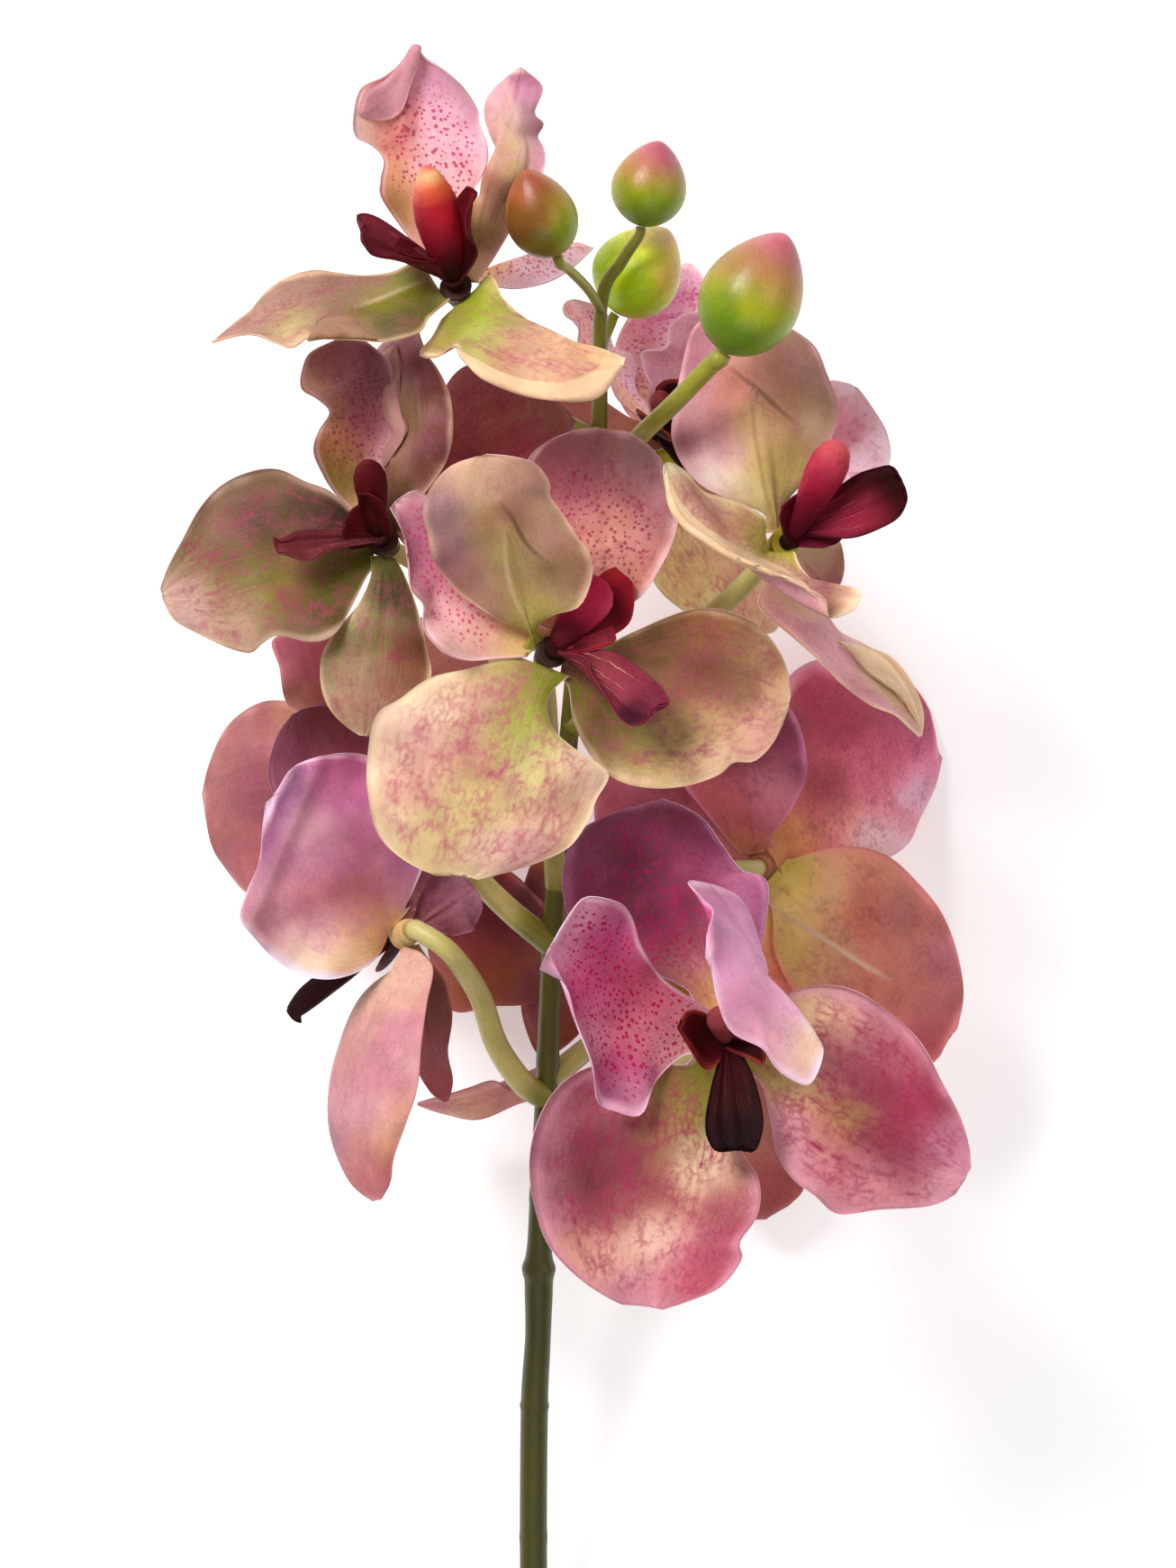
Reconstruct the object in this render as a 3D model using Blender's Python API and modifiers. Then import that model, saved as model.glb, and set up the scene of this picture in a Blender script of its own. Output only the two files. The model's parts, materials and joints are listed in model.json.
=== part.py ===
"""A cut vanda orchid: one flowering stem with ten open blooms and four buds, lying on its back.

Lengths are in millimetres up to the point where objects are made. +Y runs up the stem, +X to the right
and +Z up from the surface that the spray lies on, towards someone who looks down on it. The origin is
below the middle of the spray, on that surface.
"""

import math
from dataclasses import dataclass, field, replace

import bmesh
import bpy
from mathutils import Matrix, Vector

METRES = 0.001  # metres in a millimetre
PLAN_UNIT = 0.19  # millimetres; places across the spray are in plan units, to the right and down
PLAN_ORIGIN = (632.7, 1107.2)  # the frame's origin, in plan units
GAP = 0.3  # clearance between pieces that seat on each other

TEPAL_THICKNESS = 0.8
CLAW_RADIUS = 3.1  # where a tepal's midrib starts, from the bloom's axis
CLAW_DEPTH = 1.7  # how far behind the bloom's front face the midribs start
CLAW_SHARE = 0.11  # a tepal's width at its claw, as a share of its full width
WAVES = 2.5  # waves in each margin
WAVE_LAG = 0.37  # how far the left margin's waves run ahead of the right one's, in waves
WAVE_START = 0.4  # share of the length over which the waves grow to their full height
WAVE_DEPTH = 2.5  # power of the distance from the midrib that the waves grow by
MARGIN_STEPS = 6  # points of a margin's path between two of its places

HUB_RADIUS = 4.6
HUB_BACK_RADIUS = 2.6
HUB_DEPTH = 4.2
HUB_SIDES = 12

LIP_FOOT_LENGTH = 3.2
LIP_FOOT_RADII = (2.3, 1.8)
LIP_CLAW_SHARE = 0.3
LIP_THICKNESS = 1.4
LIP_SIDES = 8
SIDE_LOBE_LENGTH = 15.0
SIDE_LOBE_SPREAD = 6.0
COLUMN_SHAPE = ((0.0, 0.45), (0.6, 1.0), (1.0, 0.6))  # shares of its length and of its radius

STEM_SIDES = 8
STALK_SIDES = 6
STALK_RUN_IN = 2.0  # the straight end of a stalk, where it meets its flower
BUD_SIDES = 14
BUD_ROWS = 9
BUD_EGG = 0.82  # under 1 the bud is widest below its middle
BUD_FULLNESS = 0.62

LIP_COLOUR = (0.25, 0.02, 0.05)
STEM_COLOUR = (0.20, 0.25, 0.07)
ROUGHNESS = 0.5
SHARP_ANGLE = 50  # degrees
WELD = 0.000001  # metres


@dataclass
class Tepal:
    """One sepal or petal. Angles are in degrees, and a positive one turns or curls towards the face."""

    tip: tuple
    width: float
    roll: float = 0.0  # face turned about the midrib, away from straight up
    bend: float = 20.0  # curve of the midrib from claw to tip
    sway: float = 0.0  # sideways curve of the midrib
    left: float = 15.0  # curl of the left half, seen from its face with the tip up
    right: float = 15.0
    widest: float = 0.6  # where it is widest, as a share of its length
    skew: float = 0.0  # left half wider, right half narrower
    wave: float = 1.2  # height of the waves in its margin
    point: float = 0.5  # 0.5 is a round end, and 1 a pointed one
    neck: float = 1.35  # how slowly it widens from its claw
    look: tuple = None  # the way the face looks before the roll, where that isn't straight up
    root: tuple = None  # the side of the hub that it grows from, where that isn't the side of its tip
    margins: tuple = ()  # plan places of its two margins from claw to tip, each with a lift or without


MIDDLE_LOBE = Tepal(None, 10.0, bend=25, left=35, right=35, wave=0.0, neck=1.0, point=0.35, widest=0.7)
SIDE_LOBE = Tepal(None, 11.0, left=20, right=20, wave=0.0, neck=1.0)


@dataclass
class Bloom:
    """One flower: where it is, the way it faces, the ends of its lip and column, its tepals and its stalk."""

    colour: tuple
    hub: tuple
    face: tuple
    lip: tuple
    column: tuple
    tepals: dict
    leaves: float  # plan height where its stalk leaves the stem
    stalk: list
    stalk_radii: tuple = (2.4, 2.0)
    column_radius: float = 3.0
    lip_margins: tuple = ()  # as a tepal's
    side_lobes: dict = field(default_factory=dict)  # the end and the margins of each that isn't a usual one


@dataclass
class Bud:
    """One closed bud, from its foot to its tip."""

    colour: tuple
    foot: tuple
    tip: tuple
    width: float
    leaves: float = 0.0  # plan height where its stalk leaves the stem
    stalk: tuple = ()
    stalk_radius: float = 1.1


BLOOMS = {
    "top_left": Bloom(
        colour=(0.66, 0.42, 0.36),
        hub=(506, 318, 78.0),
        face=(-0.15, 0.5, 0.85),
        lip=(401, 260, 92.0),
        column=(473, 185, 92.0),
        tepals={
            "back": Tepal(
                (460, 50, 82.0), 30.0, roll=-5, bend=30, left=35, right=20, wave=2.0, widest=0.56,
                neck=1.7, point=0.72,
                margins=(
                    [(428, 228), (422, 203), (426, 178), (412, 162), (396, 154), (392, 135), (400, 100),
                     (425, 86), (443, 72)],
                    [(508, 232), (528, 208), (541, 182), (541, 160), (533, 138), (531, 122), (515, 98),
                     (493, 78), (473, 66)],
                ),
            ),
            "upper_right": Tepal(
                (579, 76, 86.0), 27.0, roll=168, left=30, right=25, wave=2.0, point=0.72,
                margins=(
                    [(533, 282), (515, 258), (516, 232), (533, 220), (536, 200), (545, 183), (553, 170),
                     (544, 150), (538, 125), (546, 102)],
                    [(548, 288), (564, 262), (580, 235), (598, 208), (606, 182), (604, 165), (597, 152),
                     (604, 138), (594, 126), (603, 98)],
                ),
            ),
            "left": Tepal(
                (236, 381, 88.0), 31.0, roll=62, bend=-25, wave=2.0, widest=0.48, point=0.95, sway=-20,
                margins=(
                    [(465, 292), (435, 302), (405, 306), (375, 303), (348, 300), (320, 308), (297, 323),
                     (278, 345), (258, 361)],
                    [(478, 352), (466, 370), (428, 381), (400, 379), (365, 378), (345, 376), (326, 388),
                     (308, 382), (280, 372)],
                ),
            ),
            "lower_right": Tepal(
                (694, 402, 106.0), 35.0, roll=-24, bend=-30, left=-10, right=10, wave=2.0, widest=0.45,
                neck=0.8, skew=-0.45, sway=30,
                margins=(
                    [(545, 305), (560, 333), (580, 352), (605, 369), (635, 384), (662, 389)],
                    [(493, 350), (480, 375), (465, 394), (485, 398), (503, 386), (514, 402), (535, 418),
                     (565, 430), (600, 442), (640, 448), (670, 439)],
                ),
            ),
            "far_right": Tepal(
                (656, 272, 36.0), 22.0, roll=-60, bend=-20, wave=2.0,
                margins=(
                    [(570, 301), (592, 300), (612, 287), (632, 268)],
                    [(562, 320), (585, 319), (612, 311), (636, 296)],
                ),
            ),
        },
        leaves=490, stalk=[(600, 455, 60.0), (572, 436, 62.0), (535, 370, 68.0)],
        column_radius=4.6,
        lip_margins=(
            [(478, 282), (450, 262), (425, 245), (408, 238), (397, 240)],
            [(488, 295), (470, 291), (440, 288), (417, 285), (409, 276)],
        ),
        side_lobes={
            "left": ((440, 270, 86.0), ([(480, 283), (455, 268)], [(486, 292), (456, 284)])),
            "right": ((525, 210, 94.0), ([(487, 298), (489, 266), (503, 229)],
                                         [(530, 284), (518, 260), (518, 236), (530, 219)])),
        },
    ),
    "mid_left": Bloom(
        colour=(0.62, 0.42, 0.30),
        hub=(425, 600, 80.0),
        face=(-0.3, 0.3, 0.9),
        lip=(304, 607, 92.0),
        column=(408, 512, 92.0),
        tepals={
            "back": Tepal(
                (390, 372, 82.0), 28.0, roll=-5, bend=30, left=40, wave=2.0, neck=2.0,
                margins=(
                    [(372, 548), (356, 522), (348, 500), (354, 478), (366, 458), (352, 443), (335, 432),
                     (336, 410), (347, 390)],
                    [(430, 562), (433, 515), (438, 480), (440, 455), (438, 430), (430, 400)],
                ),
            ),
            "upper_right": Tepal(
                (462, 368, 83.0), 28.0, roll=140, left=25, right=30, wave=2.5,
                margins=(
                    [(428, 572), (410, 560), (406, 543), (423, 524), (420, 503), (435, 484), (425, 462),
                     (413, 435), (415, 405), (424, 382)],
                    [(458, 565), (478, 540), (497, 510), (503, 475), (500, 440), (487, 412), (474, 394)],
                ),
            ),
            "left": Tepal(
                (180, 660, 84.0), 39.0, roll=10, bend=-25, widest=0.54, neck=0.95,
                margins=(
                    [(392, 570), (368, 546), (340, 535), (308, 521), (275, 525), (245, 540), (222, 565),
                     (203, 600), (187, 630)],
                    [(408, 640), (388, 680), (370, 706), (345, 713), (310, 706), (293, 714), (278, 725),
                     (250, 718), (218, 703), (193, 688)],
                ),
            ),
            "lower": Tepal(
                (404, 817, 84.0), 25.0, bend=-40, left=-15, right=-15,
                margins=(
                    [(412, 640), (398, 672), (374, 700), (358, 728), (357, 762), (366, 787), (383, 805)],
                    [(450, 640), (465, 680), (474, 720), (478, 755), (455, 785), (428, 808)],
                ),
            ),
            "far_right": Tepal(
                (636, 462, 66.0), 34.0,
                margins=(
                    [(455, 540), (475, 470), (510, 410), (560, 405), (605, 432)],
                    [(470, 590), (520, 560), (570, 530), (605, 510), (630, 488)],
                ),
            ),
        },
        leaves=860, stalk=[(560, 740, 58.0), (480, 640, 66.0)],
        lip_margins=(
            [(405, 590), (380, 590), (350, 588), (330, 590), (313, 599)],
            [(412, 602), (385, 606), (360, 614), (343, 623), (320, 615)],
        ),
        side_lobes={
            "left": ((385, 575, 84.0), ()),
            "right": ((405, 548, 92.0), ([(405, 590), (400, 570)], [(436, 590), (425, 560)])),
        },
    ),
    "centre": Bloom(
        colour=(0.68, 0.50, 0.38),
        hub=(613, 724, 100.0),
        face=(0.3, 0.25, 0.9),
        lip=(724, 795, 108.0),
        column=(668, 643, 97.0),
        tepals={
            "front_left": Tepal(
                (535, 508, 118.0), 36.0, roll=180, bend=25, left=20, right=30, root=(-1, 0.2, 0),
                margins=(
                    [(590, 703), (560, 692), (528, 672), (500, 648), (480, 618), (475, 590), (471, 568),
                     (481, 540), (502, 519)],
                    [(594, 700), (614, 684, 5), (644, 674, 6), (658, 640, 4), (655, 615, 2), (642, 598),
                     (625, 572), (611, 552), (611, 538), (597, 518), (570, 509)],
                ),
            ),
            "left": Tepal(
                (438, 560, 102.0), 36.0, roll=10, left=30, right=20, wave=2.0,
                margins=(
                    [(585, 730), (552, 732), (520, 734), (495, 726), (475, 706), (470, 690), (471, 672),
                     (457, 655), (454, 625), (449, 595)],
                    [(582, 684), (545, 650), (515, 610), (492, 570), (465, 546)],
                ),
            ),
            "back": Tepal(
                (668, 476, 81.0), 34.0, bend=25, wave=0.8,
                margins=(
                    [(605, 665), (587, 610), (577, 555), (586, 512), (607, 491), (635, 479)],
                    [(655, 690), (705, 668), (728, 640), (747, 603), (753, 570), (745, 535), (727, 502),
                     (700, 481)],
                ),
            ),
            "right": Tepal(
                (876, 780, 96.0), 38.0, bend=15, left=25, right=25,
                margins=(
                    [(660, 722), (700, 704), (740, 686), (775, 676), (810, 680), (842, 696), (864, 722),
                     (875, 750)],
                    [(632, 765), (637, 800), (655, 838), (683, 865), (720, 875), (760, 873), (797, 861),
                     (814, 847), (838, 845), (860, 822)],
                ),
            ),
            "lower": Tepal(
                (522, 974, 102.0), 50.0, bend=-20, left=-10, right=-10,
                margins=(
                    [(565, 731), (520, 743), (478, 753), (445, 776), (418, 795), (409, 840), (409, 880),
                     (420, 925), (450, 955), (487, 972)],
                    [(608, 775), (613, 808), (640, 833), (665, 848), (676, 862), (662, 888), (654, 910),
                     (632, 940), (590, 960), (555, 970)],
                ),
            ),
        },
        leaves=985, stalk=[(612, 900, 66.0), (608, 790, 84.0)],
        column_radius=4.4,
        lip_margins=(
            [(648, 730), (657, 750), (672, 773), (688, 797), (703, 806)],
            [(679, 724), (701, 735), (720, 750), (736, 765), (743, 781)],
        ),
        side_lobes={
            "left": ((690, 634, 92.0), ([(626, 698), (648, 664), (668, 638)],
                                        [(648, 716), (680, 706), (701, 688), (704, 652)])),
            "right": ((684, 703, 102.0), ([(640, 711), (664, 702)], [(648, 724), (674, 717)])),
        },
    ),
    "upper_right": Bloom(
        colour=(0.70, 0.45, 0.42),
        hub=(872, 603, 82.0),
        face=(0.5, 0.3, 0.8),
        lip=(1003, 537, 96.0),
        column=(933, 491, 96.0),
        tepals={
            "front_left": Tepal(
                (825, 343, 80.0), 38.0, roll=180, bend=25, left=25, right=25,
                margins=(
                    [(850, 572), (815, 556), (780, 540), (757, 515), (746, 485), (749, 450), (757, 410),
                     (768, 367), (792, 348)],
                    [(873, 560), (890, 538), (910, 512), (925, 482), (932, 455), (918, 415), (905, 385),
                     (880, 366), (852, 350)],
                ),
            ),
            "back": Tepal(
                (948, 428, 68.0), 28.0,
                margins=(
                    [(885, 560), (893, 510), (900, 460), (918, 424)],
                    [(925, 585), (962, 550), (988, 515), (985, 480), (969, 452)],
                ),
            ),
            "near": Tepal(
                (820, 622, 122.0), 49.0, look=(0.53, 0.81, 0.2), wave=1.5,
                margins=(
                    [(850, 578), (825, 560), (800, 552), (778, 545), (760, 524), (738, 516), (740, 548),
                     (752, 578), (785, 602)],
                    [(882, 612), (890, 632), (915, 655), (945, 653), (955, 661), (946, 678), (920, 687),
                     (914, 666), (880, 648), (850, 636)],
                ),
            ),
            "lower_right": Tepal(
                (1022, 818, 82.0), 28.0, roll=116, bend=-15, wave=2.5, widest=0.5, neck=0.8,
                margins=(
                    [(868, 650), (882, 668), (912, 684), (932, 708), (962, 718), (990, 730), (1012, 757),
                     (1025, 790)],
                    [(842, 665), (852, 684), (880, 708), (912, 737), (935, 760), (965, 782), (995, 794),
                     (1010, 806)],
                ),
            ),
            "far_right": Tepal(
                (925, 658, 52.0), 20.0,
                margins=(
                    [(905, 600), (930, 598), (938, 620), (936, 642)],
                    [(880, 620), (892, 640), (908, 655)],
                ),
            ),
        },
        leaves=810, stalk=[(722, 736, 60.0), (800, 674, 65.0), (846, 628, 72.0)],
        column_radius=3.6,
        lip_margins=(
            [(900, 562), (925, 545), (950, 528), (970, 521), (988, 518)],
            [(888, 594), (925, 598), (950, 597), (975, 588), (996, 576), (1005, 560)],
        ),
        side_lobes={"left": ((900, 548, 88.0), ()), "right": ((938, 566, 84.0), ())},
    ),
    "low_right": Bloom(
        colour=(0.66, 0.30, 0.42),
        hub=(805, 1156, 90.0),
        face=(0.0, 0.1, 1.0),
        lip=(816, 1277, 100.0),
        column=(802, 1122, 101.0),
        tepals={
            "top": Tepal(
                (728, 889, 84.0), 44.0, bend=25, left=20, right=20,
                margins=(
                    [(765, 1100), (700, 1070), (645, 1040), (627, 1000), (626, 960), (640, 926),
                     (668, 908), (700, 896)],
                    [(812, 1105), (836, 1075), (846, 1045), (852, 1010), (853, 985), (845, 972),
                     (823, 966), (803, 940), (783, 912), (760, 896)],
                ),
            ),
            "left": Tepal(
                (607, 1058, 106.0), 43.0, bend=25, left=20, right=20, widest=0.7, neck=1.8, point=0.35,
                margins=(
                    [(765, 1107), (735, 1085), (712, 1050), (700, 1015), (685, 1001), (650, 996),
                     (630, 1020)],
                    [(758, 1172), (728, 1200), (712, 1237), (683, 1233), (664, 1222), (657, 1180),
                     (640, 1135), (627, 1090)],
                ),
            ),
            "right": Tepal(
                (786, 1068, 130.0), 49.0, look=(-0.85, -0.52, 0.0), bend=95, widest=0.5, root=(0.9,
                0.4, 0.0),
                margins=(
                    [(868, 1150), (905, 1152), (912, 1172), (897, 1202), (870, 1192), (858, 1180),
                     (845, 1162), (812, 1145), (797, 1115)],
                    [(850, 1090), (842, 1045), (826, 1003), (800, 985), (764, 978), (778, 996),
                     (791, 1010), (784, 1035)],
                ),
            ),
            "lower_left": Tepal(
                (728, 1451, 96.0), 51.0, left=25, right=25, widest=0.52, skew=-0.06,
                margins=(
                    [(760, 1182), (710, 1176), (655, 1184), (620, 1206), (597, 1245), (588, 1290),
                     (594, 1340), (612, 1385), (650, 1423), (692, 1447)],
                    [(803, 1200), (803, 1250), (822, 1278), (840, 1305), (844, 1330), (838, 1353),
                     (821, 1378), (823, 1397), (800, 1427), (765, 1443)],
                ),
            ),
            "lower_right": Tepal(
                (1074, 1302, 92.0), 42.0, bend=15, widest=0.55,
                margins=(
                    [(850, 1130), (872, 1105), (905, 1094), (945, 1098), (985, 1122), (1020, 1155),
                     (1045, 1200), (1067, 1243), (1077, 1280)],
                    [(842, 1198), (855, 1240), (862, 1280), (880, 1308), (905, 1327), (930, 1347),
                     (975, 1342), (1030, 1338), (1060, 1325)],
                ),
            ),
        },
        leaves=1330, stalk=[(660, 1240, 52.0), (750, 1180, 68.0)],
        lip_margins=(
            [(797, 1178), (790, 1205), (784, 1235), (784, 1258), (793, 1275)],
            [(828, 1177), (838, 1200), (846, 1232), (846, 1255), (838, 1276)],
        ),
        side_lobes={
            "left": ((757, 1129, 101.0), ([(797, 1180), (782, 1186), (765, 1162), (753, 1142)],
                                          [(800, 1145), (788, 1128), (772, 1121)])),
            "right": ((850, 1165, 98.0), ([(815, 1168), (830, 1174), (845, 1181)],
                                          [(815, 1150), (832, 1153)])),
        },
    ),
    "back_right": Bloom(
        colour=(0.60, 0.26, 0.28),
        hub=(848, 962, 40.0),
        face=(0.25, 0.1, -0.9),
        lip=(925, 1000, 22.0),
        column=(845, 955, 28.0),
        tepals={
            "top": Tepal(
                (812, 752, 48.0), 34.0, roll=180, bend=25,
                margins=(
                    [(815, 940), (782, 900), (755, 862), (757, 810), (780, 768)],
                    [(858, 928), (880, 898), (896, 862), (894, 825), (880, 788), (850, 760)],
                ),
            ),
            "upper_right": Tepal(
                (1046, 835, 0.55), 42.0, roll=180, widest=0.56,
                margins=(
                    [(850, 920), (852, 870), (858, 815), (868, 765), (897, 736), (945, 728), (1000, 745),
                     (1034, 785)],
                    [(885, 962), (930, 965), (980, 956), (1010, 938), (1025, 908), (1042, 873)],
                ),
            ),
            "lower_right": Tepal(
                (1060, 1150, 34.0), 46.0, roll=180, bend=25,
                margins=(
                    [(880, 955), (912, 944), (950, 940), (988, 951), (1022, 982), (1048, 1015),
                     (1065, 1060), (1072, 1105)],
                    [(858, 1010), (862, 1060), (890, 1110), (940, 1150), (990, 1180), (1035, 1184)],
                ),
            ),
            "lower": Tepal((862, 1200, 26.0), 34.0, roll=180, bend=25),
            "left": Tepal((680, 830, 30.0), 36.0, roll=180, bend=25),
        },
        leaves=1060, stalk=[(700, 1000, 54.0), (790, 970, 52.0)],
    ),
    "low_left": Bloom(
        colour=(0.62, 0.34, 0.42),
        hub=(447, 1037, 66.0),
        face=(-0.45, -0.15, -0.88),
        lip=(323, 1133, 48.0),
        column=(425, 1030, 53.0),
        tepals={
            "front": Tepal(
                (302, 885, 84.0), 47.0, roll=180, bend=25, left=20, right=20,
                margins=(
                    [(425, 1052), (405, 1075), (370, 1087), (335, 1083), (303, 1063), (278, 1036),
                     (267, 1018), (275, 990), (288, 958), (292, 920)],
                    [(448, 1010), (460, 985), (472, 950), (470, 900), (445, 858), (405, 838), (365, 838),
                     (325, 852)],
                ),
            ),
            "upper": Tepal(
                (330, 790, 56.0), 34.0,
                margins=(
                    [(400, 985), (330, 930), (302, 880), (298, 850), (308, 815)],
                    [(440, 960), (442, 900), (425, 840), (395, 800), (362, 783)],
                ),
            ),
            "lower": Tepal(
                (418, 1333, 76.0), 37.0, roll=228, bend=30, left=35, right=35, sway=-25, neck=0.9,
                margins=(
                    [(452, 1070), (418, 1090), (395, 1115), (378, 1155), (366, 1200), (364, 1245),
                     (372, 1280), (390, 1315)],
                    [(481, 1075), (474, 1115), (468, 1160), (464, 1205), (452, 1245), (438, 1285),
                     (434, 1312)],
                ),
            ),
            "right": Tepal((526, 985, 62.0), 15.0, roll=180),
            "far_right": Tepal(
                (495, 1224, 52.0), 14.0, roll=180,
                margins=(
                    [(448, 1080), (452, 1130), (460, 1180), (476, 1212)],
                    [(472, 1060), (492, 1085), (501, 1112), (501, 1140), (497, 1170), (502, 1200)],
                ),
            ),
        },
        leaves=1220, stalk=[(580, 1203, 50.0), (551, 1160, 56.0), (532, 1105, 64.0), (500, 1058, 73.0)],
        stalk_radii=(2.8, 2.1),
        lip_margins=(
            [(420, 1032), (385, 1058), (347, 1086), (331, 1100), (320, 1116)],
            [(432, 1048), (398, 1068), (362, 1088), (345, 1104), (331, 1120)],
        ),
    ),
    "back_left": Bloom(
        colour=(0.50, 0.20, 0.24),
        hub=(400, 850, 38.0),
        face=(-0.3, 0.1, -0.9),
        lip=(335, 925, 12.0),
        column=(395, 845, 26.0),
        tepals={
            "left": Tepal(
                (222, 890, 0.55), 42.0, roll=180, bend=25,
                margins=(
                    [(375, 820), (340, 785), (300, 777), (270, 788), (245, 812), (228, 850)],
                    [(370, 900), (340, 950), (300, 985), (273, 993), (245, 962), (232, 940)],
                ),
            ),
            "upper_left": Tepal(
                (335, 698, 44.0), 34.0, roll=180,
                margins=(
                    [(375, 830), (335, 800), (315, 775), (309, 740), (301, 710)],
                    [(410, 820), (420, 770), (400, 720), (370, 700)],
                ),
            ),
            "upper_right": Tepal((555, 720, 26.0), 36.0, roll=180),
            "right": Tepal((560, 960, 28.0), 34.0, roll=180),
            "lower": Tepal((400, 1050, 20.0), 34.0, roll=180),
        },
        leaves=1050, stalk=[(570, 1015, 53.0), (532, 978, 53.0), (450, 890, 48.0)],
        stalk_radii=(2.8, 2.1),
    ),
    "back_top": Bloom(
        colour=(0.68, 0.36, 0.42),
        hub=(730, 480, 44.0),
        face=(0.2, 0.3, 0.9),
        lip=(800, 520, 52.0),
        column=(735, 433, 54.0),
        tepals={
            "top": Tepal(
                (766, 287, 0.6), 22.0, wave=2.0,
                margins=(
                    [(708, 468), (693, 452), (683, 425), (681, 398), (686, 372), (697, 350), (715, 322),
                     (738, 300)],
                    [(748, 462), (750, 430), (756, 395), (764, 365), (776, 340), (784, 318), (780, 300)],
                ),
            ),
            "right": Tepal((785, 345, 50.0), 25.0, roll=50, wave=2.0),
            "left": Tepal((636, 330, 34.0), 22.0, roll=70, wave=2.0),
            "lower": Tepal(
                (805, 698, 38.0), 34.0, bend=-20,
                margins=(
                    [(735, 510), (722, 560), (720, 610), (726, 645), (752, 672), (775, 684)],
                    [(770, 510), (830, 560), (862, 620), (868, 670), (862, 700), (830, 702)],
                ),
            ),
            "lower_left": Tepal((575, 500, 34.0), 28.0, bend=-20),
        },
        leaves=640, stalk=[(664, 590, 44.0), (700, 530, 34.0)],
        column_radius=2.0,
    ),
    "back_low": Bloom(
        colour=(0.52, 0.22, 0.22),
        hub=(700, 1130, 24.0),
        face=(0.1, -0.2, -0.9),
        lip=(740, 1200, 10.0),
        column=(700, 1122, 12.0),
        tepals={
            "upper_left": Tepal(
                (485, 990, 14.0), 32.0, roll=180,
                margins=(
                    [(640, 1110), (578, 1118), (545, 1119), (502, 1124), (480, 1080), (472, 1030)],
                    [(650, 1060), (600, 1000), (560, 965), (520, 962)],
                ),
            ),
            "left": Tepal(
                (462, 1228, 20.0), 24.0, roll=112, sway=30,
                margins=(
                    [(660, 1150), (600, 1190), (570, 1212), (547, 1202), (520, 1210), (498, 1217)],
                    [(670, 1165), (610, 1215), (573, 1229), (530, 1246), (490, 1239)],
                ),
            ),
            "top": Tepal(
                (605, 930, 18.0), 30.0, roll=180,
                margins=(
                    [(680, 1110), (630, 1162), (600, 1175), (584, 1145), (578, 1115), (581, 1075),
                     (578, 1000)],
                    [(690, 1090), (665, 1020), (650, 960)],
                ),
            ),
            "right": Tepal((880, 1040, 10.0), 34.0, roll=180),
            "lower": Tepal(
                (858, 1354, 10.0), 34.0, roll=180,
                margins=(
                    [(720, 1180), (760, 1280), (800, 1330), (830, 1356)],
                    [(760, 1140), (840, 1190), (880, 1250), (896, 1315), (880, 1340)],
                ),
            ),
        },
        leaves=1200, stalk=[(675, 1145, 36.0)],
    ),
}

STEM = [  # plan place, height of the axis above the surface, radius
    ((602, 2165, 2.78), 3.0),
    ((600, 2085, 2.78), 3.0),
    ((598, 2005, 2.78), 3.0),
    ((595, 1900, 4.5), 2.95),
    ((592, 1741, 12.0), 2.95),
    ((593, 1570, 22.0), 2.95),
    ((597, 1490, 27.5), 2.75),
    ((598, 1432, 31.5), 2.95),
    ((598, 1410, 33.0), 3.3),
    ((599, 1380, 35.0), 2.6),
    ((603, 1280, 41.0), 2.4),
    ((607, 1210, 45.0), 2.4),
    ((613, 1050, 51.0), 2.2),
    ((620, 950, 53.5), 2.1),
    ((635, 780, 55.5), 2.0),
    ((650, 600, 57.0), 1.9),
    ((665, 475, 59.0), 1.75),
    ((668, 335, 62.0), 1.4),
    ((690, 290, 64.0), 1.3),
]

BUDS = {
    "left": Bud((0.50, 0.25, 0.08), (618, 284, 87.0), (582, 191, 94.0), 15.2, leaves=345,
                stalk=[(654, 322, 71.0), (632, 300, 81.0)]),
    "top": Bud((0.52, 0.36, 0.12), (712, 250, 66.0), (733, 156, 70.0), 16.0),  # it sits on the stem's end
    "back": Bud((0.45, 0.50, 0.10), (684, 346, 52.0), (742, 252, 50.0), 19.0, leaves=400,
                stalk=[(672, 375, 55.0), (680, 354, 52.5)]),
    "right": Bud((0.48, 0.40, 0.10), (803, 392, 99.0), (872, 262, 104.0), 21.5, leaves=560,
                 stalk=[(700, 496, 74.0), (750, 447, 90.0), (790, 406, 97.0)], stalk_radius=2.0),
}


def place(point):
    """Millimetres in the spray's frame, from plan units across and down and a height in millimetres."""
    across_plan, down_plan, height = point
    return Vector(
        ((across_plan - PLAN_ORIGIN[0]) * PLAN_UNIT, (PLAN_ORIGIN[1] - down_plan) * PLAN_UNIT, height)
    )


def unit(values):
    return Vector(values).normalized()


def across(direction, axis):
    """The part of a direction that is square to an axis, as a unit vector."""
    return (direction - axis * direction.dot(axis)).normalized()


def outline(u, spec, claw):
    """Half-width of a tepal at share u of its length, as a share of its greatest half-width."""
    if u < spec.widest:
        return claw + (1 - claw) * math.sin(math.pi / 2 * u / spec.widest) ** spec.neck
    return max(0.0, 1 - ((u - spec.widest) / (1 - spec.widest)) ** 2) ** spec.point


def row_shares(widest, claw_rows, end_rows):
    """Stations along a tepal, closer together near its end. The last one is the tip."""
    first = [widest * i / claw_rows for i in range(claw_rows)]
    last = [widest + (1 - widest) * math.sin(math.pi / 2 * i / end_rows) for i in range(end_rows + 1)]
    return first + last


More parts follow.
